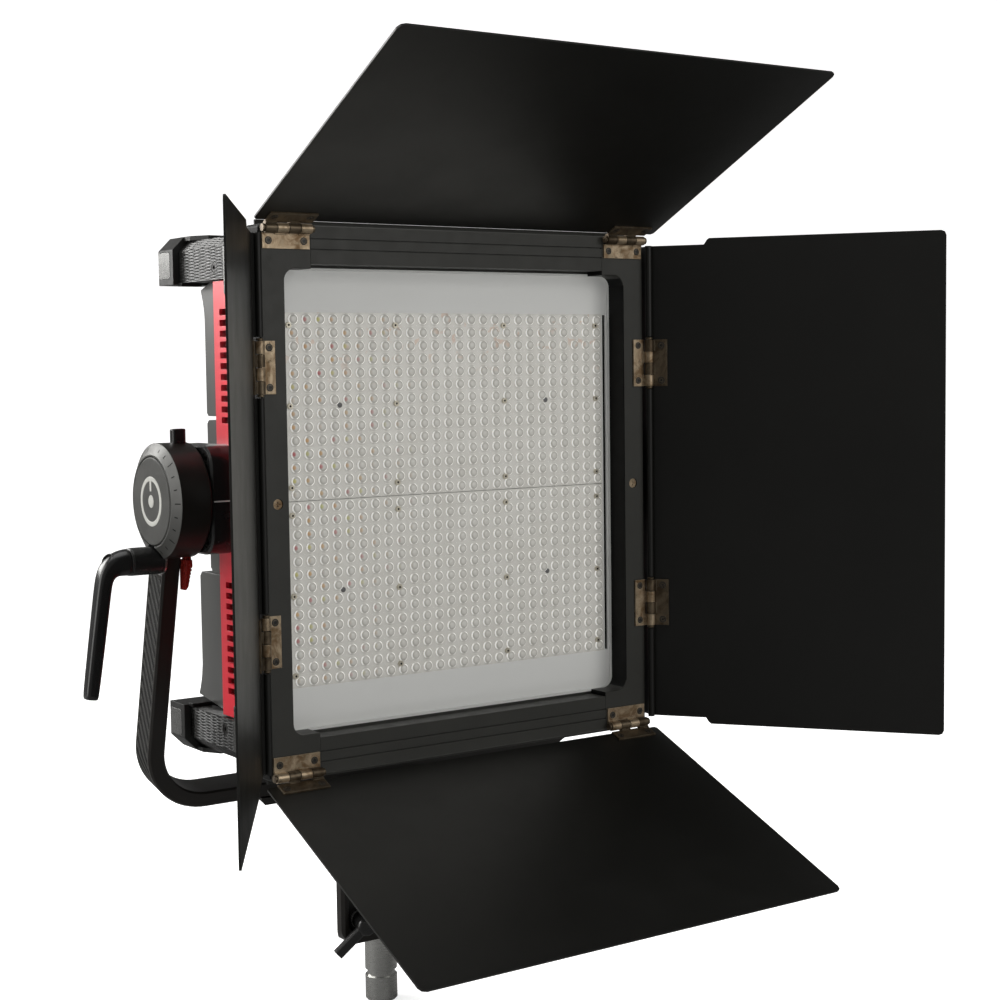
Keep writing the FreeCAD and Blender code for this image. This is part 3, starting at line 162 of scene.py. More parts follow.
# --------------------------------------------------------------- materials
def painted(name, colour, rough, metal=0.0, spec=0.5, tone=0.10, tone_scale=30.0, rough_swing=0.06,
            bump=0.0, bump_scale=900.0, coat=0.0, coat_rough=0.1, bevel=0.0003, edge=0.0,
            edge_colour=(0.45, 0.45, 0.43), patch=None, patch_scale=60.0, patch_span=None,
            stretch=None):
    """Painted, moulded or machined surface: tone variation, fine grain, softened edges painted
    lighter as a highlight.

    tone and rough_swing are variations about colour and rough.  bump and bevel are in
    metres.  patch is a second colour in blotches.  stretch scales the grain along each axis.
    """
    g, surface = principled(name)
    vector = g.coords()
    grain = vector
    if stretch:
        grain = g.node("ShaderNodeMapping", {"Scale": stretch, "Vector": vector}).outputs[0]
    tones = g.noise(vector, scale=tone_scale, detail=4.0)
    level = g.ramp(tones, span=(0.3, 0.7), to=(1.0 - tone, 1.0 + tone))
    grey = g.node("ShaderNodeCombineColor", dict.fromkeys(range(3), level)).outputs[0]
    base = g.mix(1.0, colour, grey, mode="MULTIPLY")
    if patch is not None:
        blotches = g.noise(vector, scale=patch_scale, detail=6.0, rough=0.65, warp=0.6)
        base = g.mix(g.ramp(blotches, span=patch_span, smooth=True), base, patch)
    normal = None
    if bevel > 0:
        normal = g.bevel(bevel)
        if edge > 0:
            # painted edge highlight: rounded edges are mixed towards the lighter edge_colour
            base = g.mix(g.edge_wear_and_highlight(normal, edge), base, edge_colour)
    rough_range = (max(0.02, rough - rough_swing), min(1.0, rough + rough_swing))
    rough_noise = g.noise(grain, scale=tone_scale * 3.1)
    g.fill(surface, {
        "Base Color": base,
        "Roughness": g.ramp(rough_noise, span=(0.3, 0.7), to=rough_range),
        "Metallic": metal,
        "Specular IOR Level": spec,
    })
    if coat > 0:
        g.fill(surface, {"Coat Weight": coat, "Coat Roughness": coat_rough})
    if bump > 0:
        height = g.noise(grain, scale=bump_scale, detail=2.0, rough=0.6)
        normal = g.bump(bump, height, normal)
    if normal is not None:
        g.fill(surface, {"Normal": normal})


painted("frame_black", (0.026, 0.026, 0.022), rough=0.46, spec=0.42, bump=0.00002,
        bump_scale=2600, bevel=0.00035, edge=0.20, edge_colour=(0.16, 0.16, 0.15))
painted("leaf_black", (0.0062, 0.0060, 0.0050), rough=0.40, spec=0.36, tone=0.12, tone_scale=9,
        rough_swing=0.03, bump=0.000012, bump_scale=3200, bevel=0.00025, edge=0.30,
        edge_colour=(0.10, 0.10, 0.09))
painted("screw_black", (0.012, 0.011, 0.010), rough=0.36, metal=0.2, tone=0.2, tone_scale=300,
        bevel=0.0002, edge=0.25, edge_colour=(0.2, 0.19, 0.17))
painted("liner_white", (0.76, 0.765, 0.75), rough=0.42, spec=0.4, tone=0.012, tone_scale=6,
        bump=0.000006, bevel=0.0004)
painted("board_white", (0.62, 0.61, 0.56), rough=0.5, tone=0.04, tone_scale=90,
        patch=(0.50, 0.24, 0.12), patch_scale=180, patch_span=(0.62, 0.7))
painted("aluminium_plain", (0.72, 0.73, 0.74), rough=0.34, metal=1.0, tone=0.05,
        stretch=(1, 60, 1), bevel=0.0002)
painted("panel_red", (0.66, 0.012, 0.030), rough=0.30, spec=0.7, tone=0.02, tone_scale=14,
        rough_swing=0.02, bump=0.000008, bump_scale=2600, coat=0.35, coat_rough=0.38,
        edge=0.15, edge_colour=(0.9, 0.3, 0.32))
painted("housing_grey", (0.048, 0.049, 0.046), rough=0.31, spec=1.0, tone=0.03, rough_swing=0.02,
        bump=0.000012, bump_scale=2400, bevel=0.0006, edge=0.2, edge_colour=(0.22, 0.22, 0.21))
painted("plastic_black", (0.016, 0.016, 0.016), rough=0.42, bump=0.00003, bump_scale=1500,
        edge=0.1)
painted("handle_black", (0.013, 0.013, 0.012), rough=0.34, metal=0.1, spec=0.45, bump=0.00001,
        bump_scale=2500, bevel=0.0002, edge=0.15)
painted("cap_black", (0.013, 0.013, 0.012), rough=0.44, spec=0.32, tone=0.05, bump=0.00001,
        bump_scale=2400, bevel=0.0006, edge=0.12, edge_colour=(0.2, 0.2, 0.19))
painted("inlay_grey", (0.135, 0.135, 0.131), rough=0.27, metal=0.8, spec=1.0, tone=0.02,
        rough_swing=0.02, bump=0.000004, bump_scale=1500, edge=0.3,
        edge_colour=(0.3, 0.3, 0.29))
painted("joint_black", (0.011, 0.011, 0.011), rough=0.24, tone=0.08, rough_swing=0.04,
        bump=0.000008, bump_scale=1500, bevel=0.0005, edge=0.25, edge_colour=(0.13, 0.13, 0.12))
painted("dial_grey", (0.062, 0.062, 0.058), rough=0.40, metal=0.3, tone=0.05, bump=0.00001,
        bump_scale=2200, edge=0.2)
painted("yoke_black", (0.012, 0.0105, 0.009), rough=0.36, spec=0.30, tone_scale=18,
        bump=0.000018, bump_scale=1900, bevel=0.0007, edge=0.22, edge_colour=(0.16, 0.15, 0.14))
painted("grip_texture", (0.024, 0.024, 0.021), rough=0.46, spec=0.35, tone=0.12, tone_scale=60,
        bump=0.00001, bump_scale=2600, bevel=0.0)
painted("steel_plain", (0.56, 0.56, 0.54), rough=0.27, metal=1.0, tone=0.06, stretch=(1, 1, 50))
painted("fixing_steel", (0.60, 0.56, 0.46), rough=0.34, metal=0.6, tone_scale=200, bevel=0.0)
painted("latch_red", (0.17, 0.012, 0.008), rough=0.22, tone=0.08, coat=0.4, bevel=0.0004)
painted("pcb_green", (0.015, 0.10, 0.045), rough=0.35, tone=0.15, tone_scale=120,
        patch=(0.05, 0.16, 0.08), patch_scale=200, patch_span=(0.5, 0.56), bevel=0.0)
painted("display_dark", (0.006, 0.007, 0.009), rough=0.08, spec=0.6, tone=0.05, coat=0.6,
        coat_rough=0.03)
painted("bush_bronze", (0.52, 0.35, 0.18), rough=0.32, metal=1.0, bevel=0.0)
painted("mark_white", (0.62, 0.62, 0.60), rough=0.5, tone=0.03, bevel=0.0)
painted("mark_dim", (0.006, 0.006, 0.006), rough=0.6, spec=0.15, tone=0.03, bevel=0.0)
painted("motif_grey", (0.42, 0.42, 0.39), rough=0.45, tone=0.05, bump=0.00001, bump_scale=2500,
        bevel=0.0001)
# near-black painted shade for gaps, screw and lever sockets and the inlay grooves
painted("painted_gap_shade", (0.004, 0.004, 0.004), rough=0.6, spec=0.2, tone=0.05, bevel=0.0)
painted("standoff_grey", (0.14, 0.14, 0.14), rough=0.4, tone_scale=300, bevel=0.0)


def brass_material(name, brightness, low, high):
    """Aged brass: rubbed tan flats, brown and grey blotches, bright worn edges."""
    g, surface = principled(name)
    vector = g.coords()
    broad = g.noise(vector, scale=70.0, detail=5.0, rough=0.62, warp=0.8)
    middle = g.noise(vector, scale=260.0, detail=4.0, rough=0.6, warp=0.4)
    fine = g.noise(vector, scale=1400.0, detail=2.0)

    def scaled(*colour):
        return tuple(channel * brightness for channel in colour)

    colour = g.mix(g.ramp(broad, span=(0.36, 0.62), smooth=True), low, high)
    blotch = g.ramp(middle, span=(0.50, 0.68), to=(0.0, 0.75), smooth=True)
    colour = g.mix(blotch, colour, scaled(0.30, 0.24, 0.16))
    stains = g.noise(vector, scale=150.0, detail=5.0, rough=0.7, warp=1.2)
    stain = g.ramp(stains, span=(0.58, 0.70), to=(0.0, 0.8), smooth=True)
    colour = g.mix(stain, colour, (0.075, 0.055, 0.035))
    rounded = g.bevel(0.0003)
    colour = g.mix(g.edge_wear_and_highlight(rounded, 0.6), colour, scaled(0.85, 0.74, 0.56))
    g.fill(surface, {
        "Base Color": colour,
        "Metallic": 0.72,
        "Roughness": g.ramp(broad, span=(0.3, 0.7), to=(0.46, 0.30)),
    })
    height = g.math("ADD", middle, g.mul(fine, 0.4))
    g.fill(surface, {"Normal": g.bump(0.00004, height, rounded)})


brass_material("brass_aged", brightness=1.0, low=(0.17, 0.105, 0.052), high=(0.46, 0.36, 0.245))
# a copy of the aged brass at a third of the brightness: painted shade on the leaf-side hinge
# plates and the pins
brass_material("brass_painted_shade", brightness=0.35, low=(0.060, 0.040, 0.022),
               high=(0.150, 0.115, 0.075))


def lens_material():
    """Clear domes over a white board.

    The emitter under each dome shows when the panel is seen nearly straight on.
    """
    emitter_depth = -0.92  # shift of the emitter with the view, in dome radii; - is below
    emitter_size = (0.36, 0.46)  # half width and half height, in dome radii
    g, surface = principled("lens_clear")
    dome = g.split(g.node("ShaderNodeUVMap", uv_map="dome").outputs[0])
    view = g.split(g.node("ShaderNodeNewGeometry").outputs["Incoming"])
    facing = g.math("MINIMUM", view[1], -0.2)  # kept off zero for the divisions
    slope = [g.math("DIVIDE", view[axis], facing) for axis in (0, 2)]
    offset = [g.math("SUBTRACT", dome[i], g.mul(slope[i], emitter_depth)) for i in (0, 1)]
    radius = g.length(dome[0], dome[1])
    reach = g.length(*[g.math("DIVIDE", offset[i], emitter_size[i]) for i in (0, 1)])
    spot = g.ramp(reach, span=(1.25, 0.45), smooth=True)
    seen = g.ramp(g.math("ABSOLUTE", view[1]), span=(0.838, 0.880), smooth=True)
    inside = g.ramp(radius, span=(0.92, 0.80), smooth=True)
    emitter = g.node("ShaderNodeAttribute", attribute_name="emitter")

    # board between the domes: two whites, with faint copper smudges near the top
    vector = g.coords()
    clouds = g.noise(vector, scale=45.0, detail=4.0, rough=0.6)
    web = g.mix(g.ramp(clouds, span=(0.35, 0.7)), (0.705, 0.695, 0.655), (0.655, 0.640, 0.595))
    near_top = g.ramp(g.split(vector)[2], span=(0.475, 0.535), smooth=True)
    copper = g.noise(vector, scale=95.0, detail=2.0, rough=0.5, warp=0.3)
    smudge = g.ramp(copper, span=(0.60, 0.68), to=(0.0, 0.50), smooth=True)
    web = g.mix(g.mul(smudge, near_top), web, (0.62, 0.36, 0.22))

    # painted shade on each dome's flank, and a painted highlight with a painted glow on its rim,
    # strongest on its right
    rim = g.band(radius, rise=(0.76, 0.85), fall=(1.02, 0.94))
    shade = g.band(radius, rise=(0.30, 0.70), fall=(0.84, 0.74))
    right = g.ramp(dome[0], span=(0.05, 0.62), smooth=True)
    left = g.ramp(dome[0], span=(-0.25, -0.70), to=(0.0, 0.55), smooth=True)
    lit_sides = g.math("ADD", g.math("ADD", right, left), 0.08)  # 0.08 lights the rim all round
    highlight_strength, highlight_glow = 1.0, 0.52
    colour = g.mix(g.mul(shade, 0.62), web, (0.43, 0.415, 0.375))
    colour = g.mix(g.mul(g.mul(rim, lit_sides), highlight_strength), colour, (1.0, 0.995, 0.96))
    # painted shadow in a ring round each dome's foot
    foot = g.band(radius, rise=(1.0, 1.06), fall=(1.22, 1.08), smooth=False)
    colour = g.mix(g.mul(foot, 0.30), colour, (0.42, 0.41, 0.38))
    shown = g.mul(g.mul(spot, seen), inside)
    shown = g.mul(shown, emitter.outputs["Alpha"])
    colour = g.mix(shown, colour, emitter.outputs["Color"])
    # painted glow: the rim highlight emits light, and the whole plate emits a faint base glow
    glow = g.mul(g.mul(rim, lit_sides), highlight_glow)
    g.fill(surface, {
        "Base Color": colour,
        "Emission Color": (1.0, 0.99, 0.95),
        "Emission Strength": g.math("ADD", glow, 0.030),
        "Roughness": 0.22,
        "Specular IOR Level": 0.5,
        "Coat Weight": 0.35,
        "Coat Roughness": 0.06,
    })


lens_material()
# near-black painted shade for side walls in the shadow of the leaves
painted("wall_painted_shade", (0.0035, 0.0035, 0.0032), rough=0.5, spec=0.12, bevel=0.0)
# lighter copy of the screw heads' metal: a painted lit face on the ring round each socket
painted("screw_lit_face", (0.085, 0.072, 0.055), rough=0.30, metal=0.7, tone=0.2, tone_scale=300,
        bevel=0.0)

# materials of the loaded pieces; any piece not listed is housing_grey
PIECES = {
    "yoke_black": "yoke_frame stand_receiver",
    "grip_texture": "yoke_grip_inlays",
    "steel_plain": "stand_stud lever_washers tilt_axles",
    "screw_black": "receiver_screws hinge_frame_screws housing_screws",
    "dial_grey": "tilt_dial_rings tilt_caps",
    "bush_bronze": "tilt_bushes",
    "joint_black": "tilt_lock_lever receiver_lock_lever angle_stop_plunger flange_blocks",
    "latch_red": "yoke_release_latch",
    "frame_black": "frame_side_members frame_rails front_housing",
    "brass_aged": "frame_locking_pins hinge_frame_plates",
    # leaf-side hinge plates and pins get the shaded brass copy as painted shade
    "brass_painted_shade": "hinge_pins top_leaf_hinge_plates bottom_leaf_hinge_plates"
                  " left_leaf_hinge_plates right_leaf_hinge_plates",
    "liner_white": "reflector_liner",
    "lens_clear": "lens_plates",
    "board_white": "led_boards",
    "fixing_steel": "board_fixings",
    "aluminium_plain": "heat_sink",
    "panel_red": "side_panels",
    "display_dark": "display_window",
    "pcb_green": "control_boards power_supply_board",
    "plastic_black": "switch_body rear_sockets fan_frames encoder_knob_1 encoder_knob_2"
                     " menu_button_1 menu_button_2 menu_button_3 switch_rocker"
                     " fan_rotor_left fan_rotor_right",
    "handle_black": "handle_side_arms handle_grips",
    "inlay_grey": "handle_brackets handle_cap_inlays",
    "cap_black": "handle_caps",
    "leaf_black": "top_leaf bottom_leaf left_leaf right_leaf",
}


def dress_pieces():
    material_of = {piece: name for name, pieces in PIECES.items() for piece in pieces.split()}
    for piece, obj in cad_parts.items():
        obj.data.materials.clear()
        obj.data.materials.append(MATS[material_of.get(piece, "housing_grey")])
    # painted shade: walls that face sideways stand in the shade of the leaves and are painted
    # near-black
    for piece in ("frame_side_members", "front_housing"):
        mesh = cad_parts[piece].data
        mesh.materials.append(MATS["wall_painted_shade"])
        for face in mesh.polygons:
            if abs(face.normal.x) > 0.7:
                face.material_index = 1


dress_pieces()


# ------------------------------------------------------------ mesh helpers
def add_object(name, data):
    obj = bpy.data.objects.new(name, data)
    bpy.context.scene.collection.objects.link(obj)
    return obj


def weld(mesh, distance):
    bm = bmesh.new()
    bm.from_mesh(mesh)
    bmesh.ops.remove_doubles(bm, verts=bm.verts, dist=distance)
    bmesh.ops.recalc_face_normals(bm, faces=bm.faces)
    bm.to_mesh(mesh)
    bm.free()


def smooth_by_angle(obj, degrees):
    mesh = obj.data
    for face in mesh.polygons:
        face.use_smooth = True
    bm = bmesh.new()
    bm.from_mesh(mesh)
    limit = math.radians(degrees)
    for edge in bm.edges:
        edge.smooth = not (len(edge.link_faces) == 2 and edge.calc_face_angle(0.0) > limit)
    bm.to_mesh(mesh)
    bm.free()


def ring_quads(first, second, count):
    """Quads between two rings of count vertices that start at these indices."""
    return [[first + i, first + (i + 1) % count, second + (i + 1) % count, second + i]
            for i in range(count)]


def rect_xz(x0, x1, y, z0, z1):
    return [place(x0, y, z0), place(x1, y, z0), place(x1, y, z1), place(x0, y, z1)]


class Shape:
    """Collects vertices, in metres, and faces before they become one object."""

    def __init__(self):
        self.points, self.faces = [], []

    def add(self, points, faces):
        start = len(self.points)
        self.points += [Vector(point) for point in points]
        self.faces += [[i + start for i in face] for face in faces]

    def lathe(self, origin, axis, profile, segments=32, phase=0.0, closed=False):
        """Profile is (distance along the axis, radius) in mm; radius 0 makes a fan."""
        axis = Vector(axis).normalized()
        helper = Vector((0, 0, 1)) if abs(axis.z) < 0.9 else Vector((1, 0, 0))
        across = axis.cross(helper).normalized()
        other = axis.cross(across).normalized()
        origin = Vector(origin)
        points, rings = [], []
        for along, radius in profile:
            centre = origin + axis * mm(along)
            radius = mm(radius)
            if radius < 1e-9:
                rings.append([len(points)])
                points.append(centre)
                continue
            rings.append(list(range(len(points), len(points) + segments)))
            for i in range(segments):
                angle = 2 * math.pi * i / segments + phase
                points.append(centre + across * (radius * math.cos(angle))
                              + other * (radius * math.sin(angle)))
        pairs = list(zip(rings, rings[1:]))
        if closed:
            pairs.append((rings[-1], rings[0]))
        faces = []
        for first, second in pairs:
            if len(first) == 1 and len(second) == 1:
                continue
            for i in range(segments):
                j = (i + 1) % segments
                if len(first) == 1:
                    faces.append([first[0], second[i], second[j]])
                elif len(second) == 1:
                    faces.append([first[i], second[0], first[j]])
                else:
                    faces.append([first[i], second[i], second[j], first[j]])
        self.add(points, faces)

    def prism(self, outline, push):
        """Closed outline pushed along push, in mm, with end faces."""
        count = len(outline)
        push = Vector([mm(part) for part in push])
        points = list(outline) + [point + push for point in outline]
        ends = [list(range(count))[::-1], list(range(count, 2 * count))]
        self.add(points, ends + ring_quads(0, count, count))

    def done(self, name, material, body, slot, smooth=False, angle=None):
        mesh = bpy.data.meshes.new(name)
        mesh.from_pydata([tuple(point) for point in self.points], [], self.faces)
        mesh.validate()
        mesh.update()
        weld(mesh, 1e-7)
        for face in mesh.polygons:
            face.use_smooth = smooth
        obj = add_object(name, mesh)
        mesh.materials.append(MATS[material])
        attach(obj, body)
        if angle:
            smooth_by_angle(obj, angle)
        return obj


# -------------------------------------------------------------- lens arrays
COLUMN_PITCH, ROW_PITCH = 11.8, 10.44
COLUMNS = [-2.1 + COLUMN_PITCH * (i - 13) for i in range(27)]
ROWS = [140.95 - ROW_PITCH * j for j in range(28)]
PLATE_ROWS = 14
PLATE_LEFT, PLATE_RIGHT = -161.0, 157.6
PLATE_END, PLATE_SEAM = 146.2, 0.25  # distances of a plate's far and near edges from z = 0
LENS_Y, PLATE_THICK = 25.0, 2.3
DOME_RADIUS, DOME_HEIGHT, DOME_SEGMENTS = 4.35, 2.08, 20
# radius as a share of the dome radius, height in mm
DOME_PROFILE = [(1.16, 0.0), (1.02, 0.08), (0.97, 0.55), (0.88, 1.05), (0.72, 1.50),
                (0.50, 1.84), (0.25, 2.02)]
# red, green, blue, strength
EMITTERS = {
    "amber": (0.64, 0.36, 0.13, 0.85), "red": (0.50, 0.07, 0.08, 0.85),
    "lime": (0.60, 0.56, 0.16, 0.85), "white": (0.60, 0.59, 0.53, 0.25),
    "dull": (0.40, 0.33, 0.30, 0.25), "pale": (0.66, 0.54, 0.40, 0.4),
}
PATTERN = ["amber", "white", "red", "lime", "amber", "white", "pale", "white"]
ROW_SHIFT = [0, 3, 6, 4, 7, 2, 5, 3]


def emitter_colour(column, row):
    kind = PATTERN[(column + ROW_SHIFT[row % 8] + (row // 8) * 3) % 8]
    if kind == "white" and rng.random() < 0.12:
        kind = "dull"
    *colour, strength = EMITTERS[kind]
    varied = [min(1.0, max(0.0, channel * (1.0 + 0.10 * (rng.random() - 0.5))))
              for channel in colour]
    return (*varied, strength * (0.75 + 0.35 * rng.random()))


def cell_edges(first, centres, last):
    return [first] + [0.5 * (a + b) for a, b in zip(centres, centres[1:])] + [last]


def lens_array(name, first_row, z_low, z_high):
    """One plate: a dome in each cell, flat web round it, and a plain back."""
    count = DOME_SEGMENTS
    angles = [2 * math.pi * s / count for s in range(count)]
    turns = [(math.cos(angle), math.sin(angle)) for angle in angles]
    points, faces, dome_uvs, colours = [], [], [], []

    def put(x, y, z, u, v, colour):
        points.append(place(x, y, z))
        dome_uvs.append((u, v))
        colours.append(colour)
        return len(points) - 1

    def edge_distance(part, centre, low, high):
        """Distance from the centre to the cell edge met in a direction with this part."""
        if abs(part) <= 1e-6:
            return 1e9
        return ((high if part > 0 else low) - centre) / part

    def cell(xc, zc, x0, x1, z0, z1, colour):
        rings = []
        for share, height in DOME_PROFILE:
            radius = DOME_RADIUS * share
            rings.append([put(xc + radius * ca, LENS_Y - height, zc + radius * sa,
                              share * ca, share * sa, colour) for ca, sa in turns])
        top = put(xc, LENS_Y - DOME_HEIGHT, zc, 0.0, 0.0, colour)
        rim, web = [], []
        for ca, sa in turns:
            reach = min(edge_distance(ca, xc, x0, x1), edge_distance(sa, zc, z0, z1))
            rim.append((xc + reach * ca, zc + reach * sa))
            web.append(put(rim[-1][0], LENS_Y, rim[-1][1], 1.6 * ca, 1.6 * sa, colour))
        foot = rings[0]
        for s in range(count):
            n = (s + 1) % count
            (xa, za), (xb, zb) = rim[s], rim[n]
            if abs(xa - xb) > 0.01 and abs(za - zb) > 0.01:
                # the two rim points lie on different edges, so the face takes in the corner
                corner_x = x1 if max(xa, xb) > xc + 0.5 * (x1 - xc) else x0
                corner_z = z1 if max(za, zb) > zc + 0.5 * (z1 - zc) else z0
                corner = put(corner_x, LENS_Y, corner_z, 1.8, 1.8, colour)
                faces.append([foot[s], web[s], corner, web[n], foot[n]])
            else:
                faces.append([foot[s], web[s], web[n], foot[n]])
        for lower, upper in zip(rings, rings[1:]):
            faces.extend(ring_quads(lower[0], upper[0], count))
        for s in range(count):
            faces.append([rings[-1][s], rings[-1][(s + 1) % count], top])

    rows = ROWS[first_row:first_row + PLATE_ROWS]
    edges_x = cell_edges(PLATE_LEFT, COLUMNS, PLATE_RIGHT)
    edges_z = cell_edges(z_high, rows, z_low)
    for j, zc in enumerate(rows):
        for i, xc in enumerate(COLUMNS):
            colour = emitter_colour(i, first_row + j)
            cell(xc, zc, edges_x[i], edges_x[i + 1], edges_z[j + 1], edges_z[j], colour)

    # back and edge faces close the plate
    start = len(points)
    for y in (LENS_Y, LENS_Y + PLATE_THICK):
        for x, z in ((PLATE_LEFT, z_low), (PLATE_RIGHT, z_low),
                     (PLATE_RIGHT, z_high), (PLATE_LEFT, z_high)):
            put(x, y, z, 1.8, 1.8, (0.6, 0.6, 0.55, 0.0))
    faces.append([start + 4, start + 5, start + 6, start + 7])
    faces.extend(ring_quads(start, start + 4, 4))

    mesh = bpy.data.meshes.new(name)
    mesh.from_pydata([tuple(point) for point in points], [], faces)
    uv_layer = mesh.uv_layers.new(name="dome")
    corners = np.zeros(len(mesh.loops), np.int32)
    mesh.loops.foreach_get("vertex_index", corners)
    uv_layer.data.foreach_set("uv", np.array(dome_uvs, np.float32)[corners].ravel())
    attribute = mesh.color_attributes.new("emitter", "FLOAT_COLOR", "POINT")
    attribute.data.foreach_set("color", np.array(colours, np.float32).ravel())
    weld(mesh, 2e-6)
    mesh.materials.append(MATS["lens_clear"])
    obj = add_object(name, mesh)
    smooth_by_angle(obj, 50)
    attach(obj, "head")
    return obj


upper_lenses = lens_array("lens_array_upper", 0, PLATE_SEAM, PLATE_END)
lens_array("lens_array_lower", PLATE_ROWS, -PLATE_END, -PLATE_SEAM)
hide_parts("lens_plates")


# ---------------------------------------------------- fixings between domes
FIXING_Y = 25.3
FORWARD = (0, -1, 0)


def board_screws():
    """Bright rims, each round a socket painted near-black as shade."""
    rims, sockets = Shape(), Shape()
    for x in (-148.0, -52.0, 53.5, 149.5):
        for height in (136.4, 74.0, 10.8):
            for z in (height, -height):
                rims.lathe(place(x, FIXING_Y, z), FORWARD, [
                    (0, 0), (0, 2.3), (1.2, 2.3), (1.75, 1.95), (1.80, 1.35),
                    (1.2, 1.2), (1.1, 0)], 20)
                sockets.lathe(place(x, 24.35, z), FORWARD, [
                    (0, 0), (0, 1.3), (0.75, 1.3), (0.85, 1.1), (0.4, 0.7), (0.35, 0)], 6)
    rims.done("board_screw_rims", "fixing_steel", "head", "steel_plain", angle=40)
    sockets.done("board_screw_sockets", "painted_gap_shade", "head", "screw_black")


def board_standoffs():
    shape = Shape()
    for x, z in ((-103.7, 73.9), (96.3, 73.9), (-103.7, -72.0), (96.3, -72.0)):
        shape.lathe(place(x, FIXING_Y, z), FORWARD,
                    [(0, 0), (0, 2.1), (0.7, 2.1), (1.0, 1.7), (1.05, 0)], 18)
    shape.done("board_standoffs", "standoff_grey", "head", "steel_plain", angle=18 + 22)


def lens_edge():
    """Painted shade in the gap, and a bright cut edge, at the lens plates' right side."""
    gap = Shape()
    gap.prism(rect_xz(157.7, 162.2, 27.3, -146, 146), (0, 1.2, 0))
    gap.done("lens_edge_gap", "painted_gap_shade", "head", "screw_black")
    strip = Shape()
    strip.prism(rect_xz(156.9, 157.9, 24.95, -146, 146), (0, PLATE_THICK, 0))
    strip.done("lens_edge_strip", "liner_white", "head", "liner_white")


board_screws()
board_standoffs()
lens_edge()

# ------------------------------------------------------------ hinge screws
HINGE_X, HINGE_Y, HINGE_Z = 187.0, -3.0, 208.0
SIDE_HINGE_Z, TOP_HINGE_X = 103.9, 161.3
BACK, ALONG_X, ALONG_Z = Vector((0, 1, 0)), Vector((1, 0, 0)), Vector((0, 0, 1))
SCREW_SPREAD = 15  # from a hinge's middle to a screw, along the hinge line
LEAF_SCREW_REACH = 10.0  # from the hinge line to the leaf's screws
SCREW_RISE = 3.0  # from the hinge line to the plate
# leaf, outward direction, hinge line, resting angle from straight ahead, distance from
# the hinge line to the frame's screws, (x, z) of the hinges
LEAVES = (
    ("right_leaf", ALONG_X, ALONG_Z, 37.0, 9.4,
     [(HINGE_X, SIDE_HINGE_Z), (HINGE_X, -SIDE_HINGE_Z)]),
    ("left_leaf", -ALONG_X, ALONG_Z, 30.5, 9.4,
     [(-HINGE_X, SIDE_HINGE_Z), (-HINGE_X, -SIDE_HINGE_Z)]),
    ("top_leaf", ALONG_Z, ALONG_X, 26.3, 9.2,
     [(TOP_HINGE_X, HINGE_Z), (-TOP_HINGE_X, HINGE_Z)]),
    ("bottom_leaf", -ALONG_Z, ALONG_X, 23.0, 9.2,
     [(TOP_HINGE_X, -HINGE_Z), (-TOP_HINGE_X, -HINGE_Z)]),
)


def leaf_axes(outward, degrees):
    """Direction across an open leaf from its hinge, and the normal of its outer face."""
    c, s = math.cos(math.radians(degrees)), math.sin(math.radians(degrees))
    return outward * s - BACK * c, outward * c + BACK * s


def screw_head(heads, rings, centre, normal):
    """Countersunk head with a hex socket; normal points out of the plate. Near-black outer ring
    and socket round a lighter ring: painted countersink and socket shade and a painted lit face.
    """
    phase = random.random()
    seat = centre - normal * mm(0.10)
    heads.lathe(seat, normal, [(-0.2, 2.30), (-0.2, 2.98), (0.20, 2.92), (0.22, 2.35)],
                28, closed=True)
    rings.lathe(seat, normal, [(-0.1, 1.45), (-0.1, 2.32), (0.34, 2.22), (0.40, 1.95),
                               (0.38, 1.48)], 28, closed=True)
    heads.lathe(seat, normal, [(-0.2, 0), (-0.2, 1.44), (0.05, 1.44), (0.05, 0)], 6, phase=phase)


def hinge_screws():
    frame_heads, frame_lit_faces = Shape(), Shape()
    for body, outward, line, rest, frame_reach, hinges in LEAVES:
        frame_across, frame_normal = leaf_axes(outward, 90)
        leaf_across, leaf_normal = leaf_axes(outward, rest)
        heads, faces = Shape(), Shape()
        for x, z in hinges:
            for spread in (-SCREW_SPREAD, SCREW_SPREAD):
                middle = place(x, HINGE_Y, z) + line * mm(spread)
                on_frame = (middle + frame_across * mm(-frame_reach)
                            + frame_normal * mm(SCREW_RISE))
                screw_head(frame_heads, frame_lit_faces, on_frame, -frame_normal)
                on_leaf = (middle + leaf_across * mm(LEAF_SCREW_REACH)
                           + leaf_normal * mm(SCREW_RISE))
                screw_head(heads, faces, on_leaf, -leaf_normal)
        heads.done(body + "_screw_heads", "screw_black", body, "screw_black", angle=40)
        faces.done(body + "_screw_faces", "screw_lit_face", body, "screw_black", angle=40)
    frame_heads.done("hinge_frame_screw_heads", "screw_black", "head", "screw_black", angle=40)
    frame_lit_faces.done("hinge_frame_screw_faces", "screw_lit_face", "head", "screw_black", angle=40)


hinge_screws()

# --------------------------------------------------- knurled handle arms
# outline of the upper left arm in x and z; the first KNURLED_EDGES edges carry the knurl
ARM = [(-182.5, 173.2), (-182.5, 198.4), (-174.0, 206.8), (-165.9, 206.8), (-165.9, 173.2)]
KNURLED_EDGES = 3
ARM_FRONT, ARM_BACK, ARM_STEPS = 61.25, 151.95, 110
ARM_HOLE_Y, ARM_HOLE_Z, ARM_HOLE_RADIUS, HOLE_FLAT = 80.7, 182.6, 3.9, 4.6
KNURL_STEP, KNURL_PITCH, KNURL_SLANT = 0.30, 2.4, 0.12
KNURL_DEPTH, KNURL_WIDTH = 0.50, 0.34  # width as a share of half the pitch


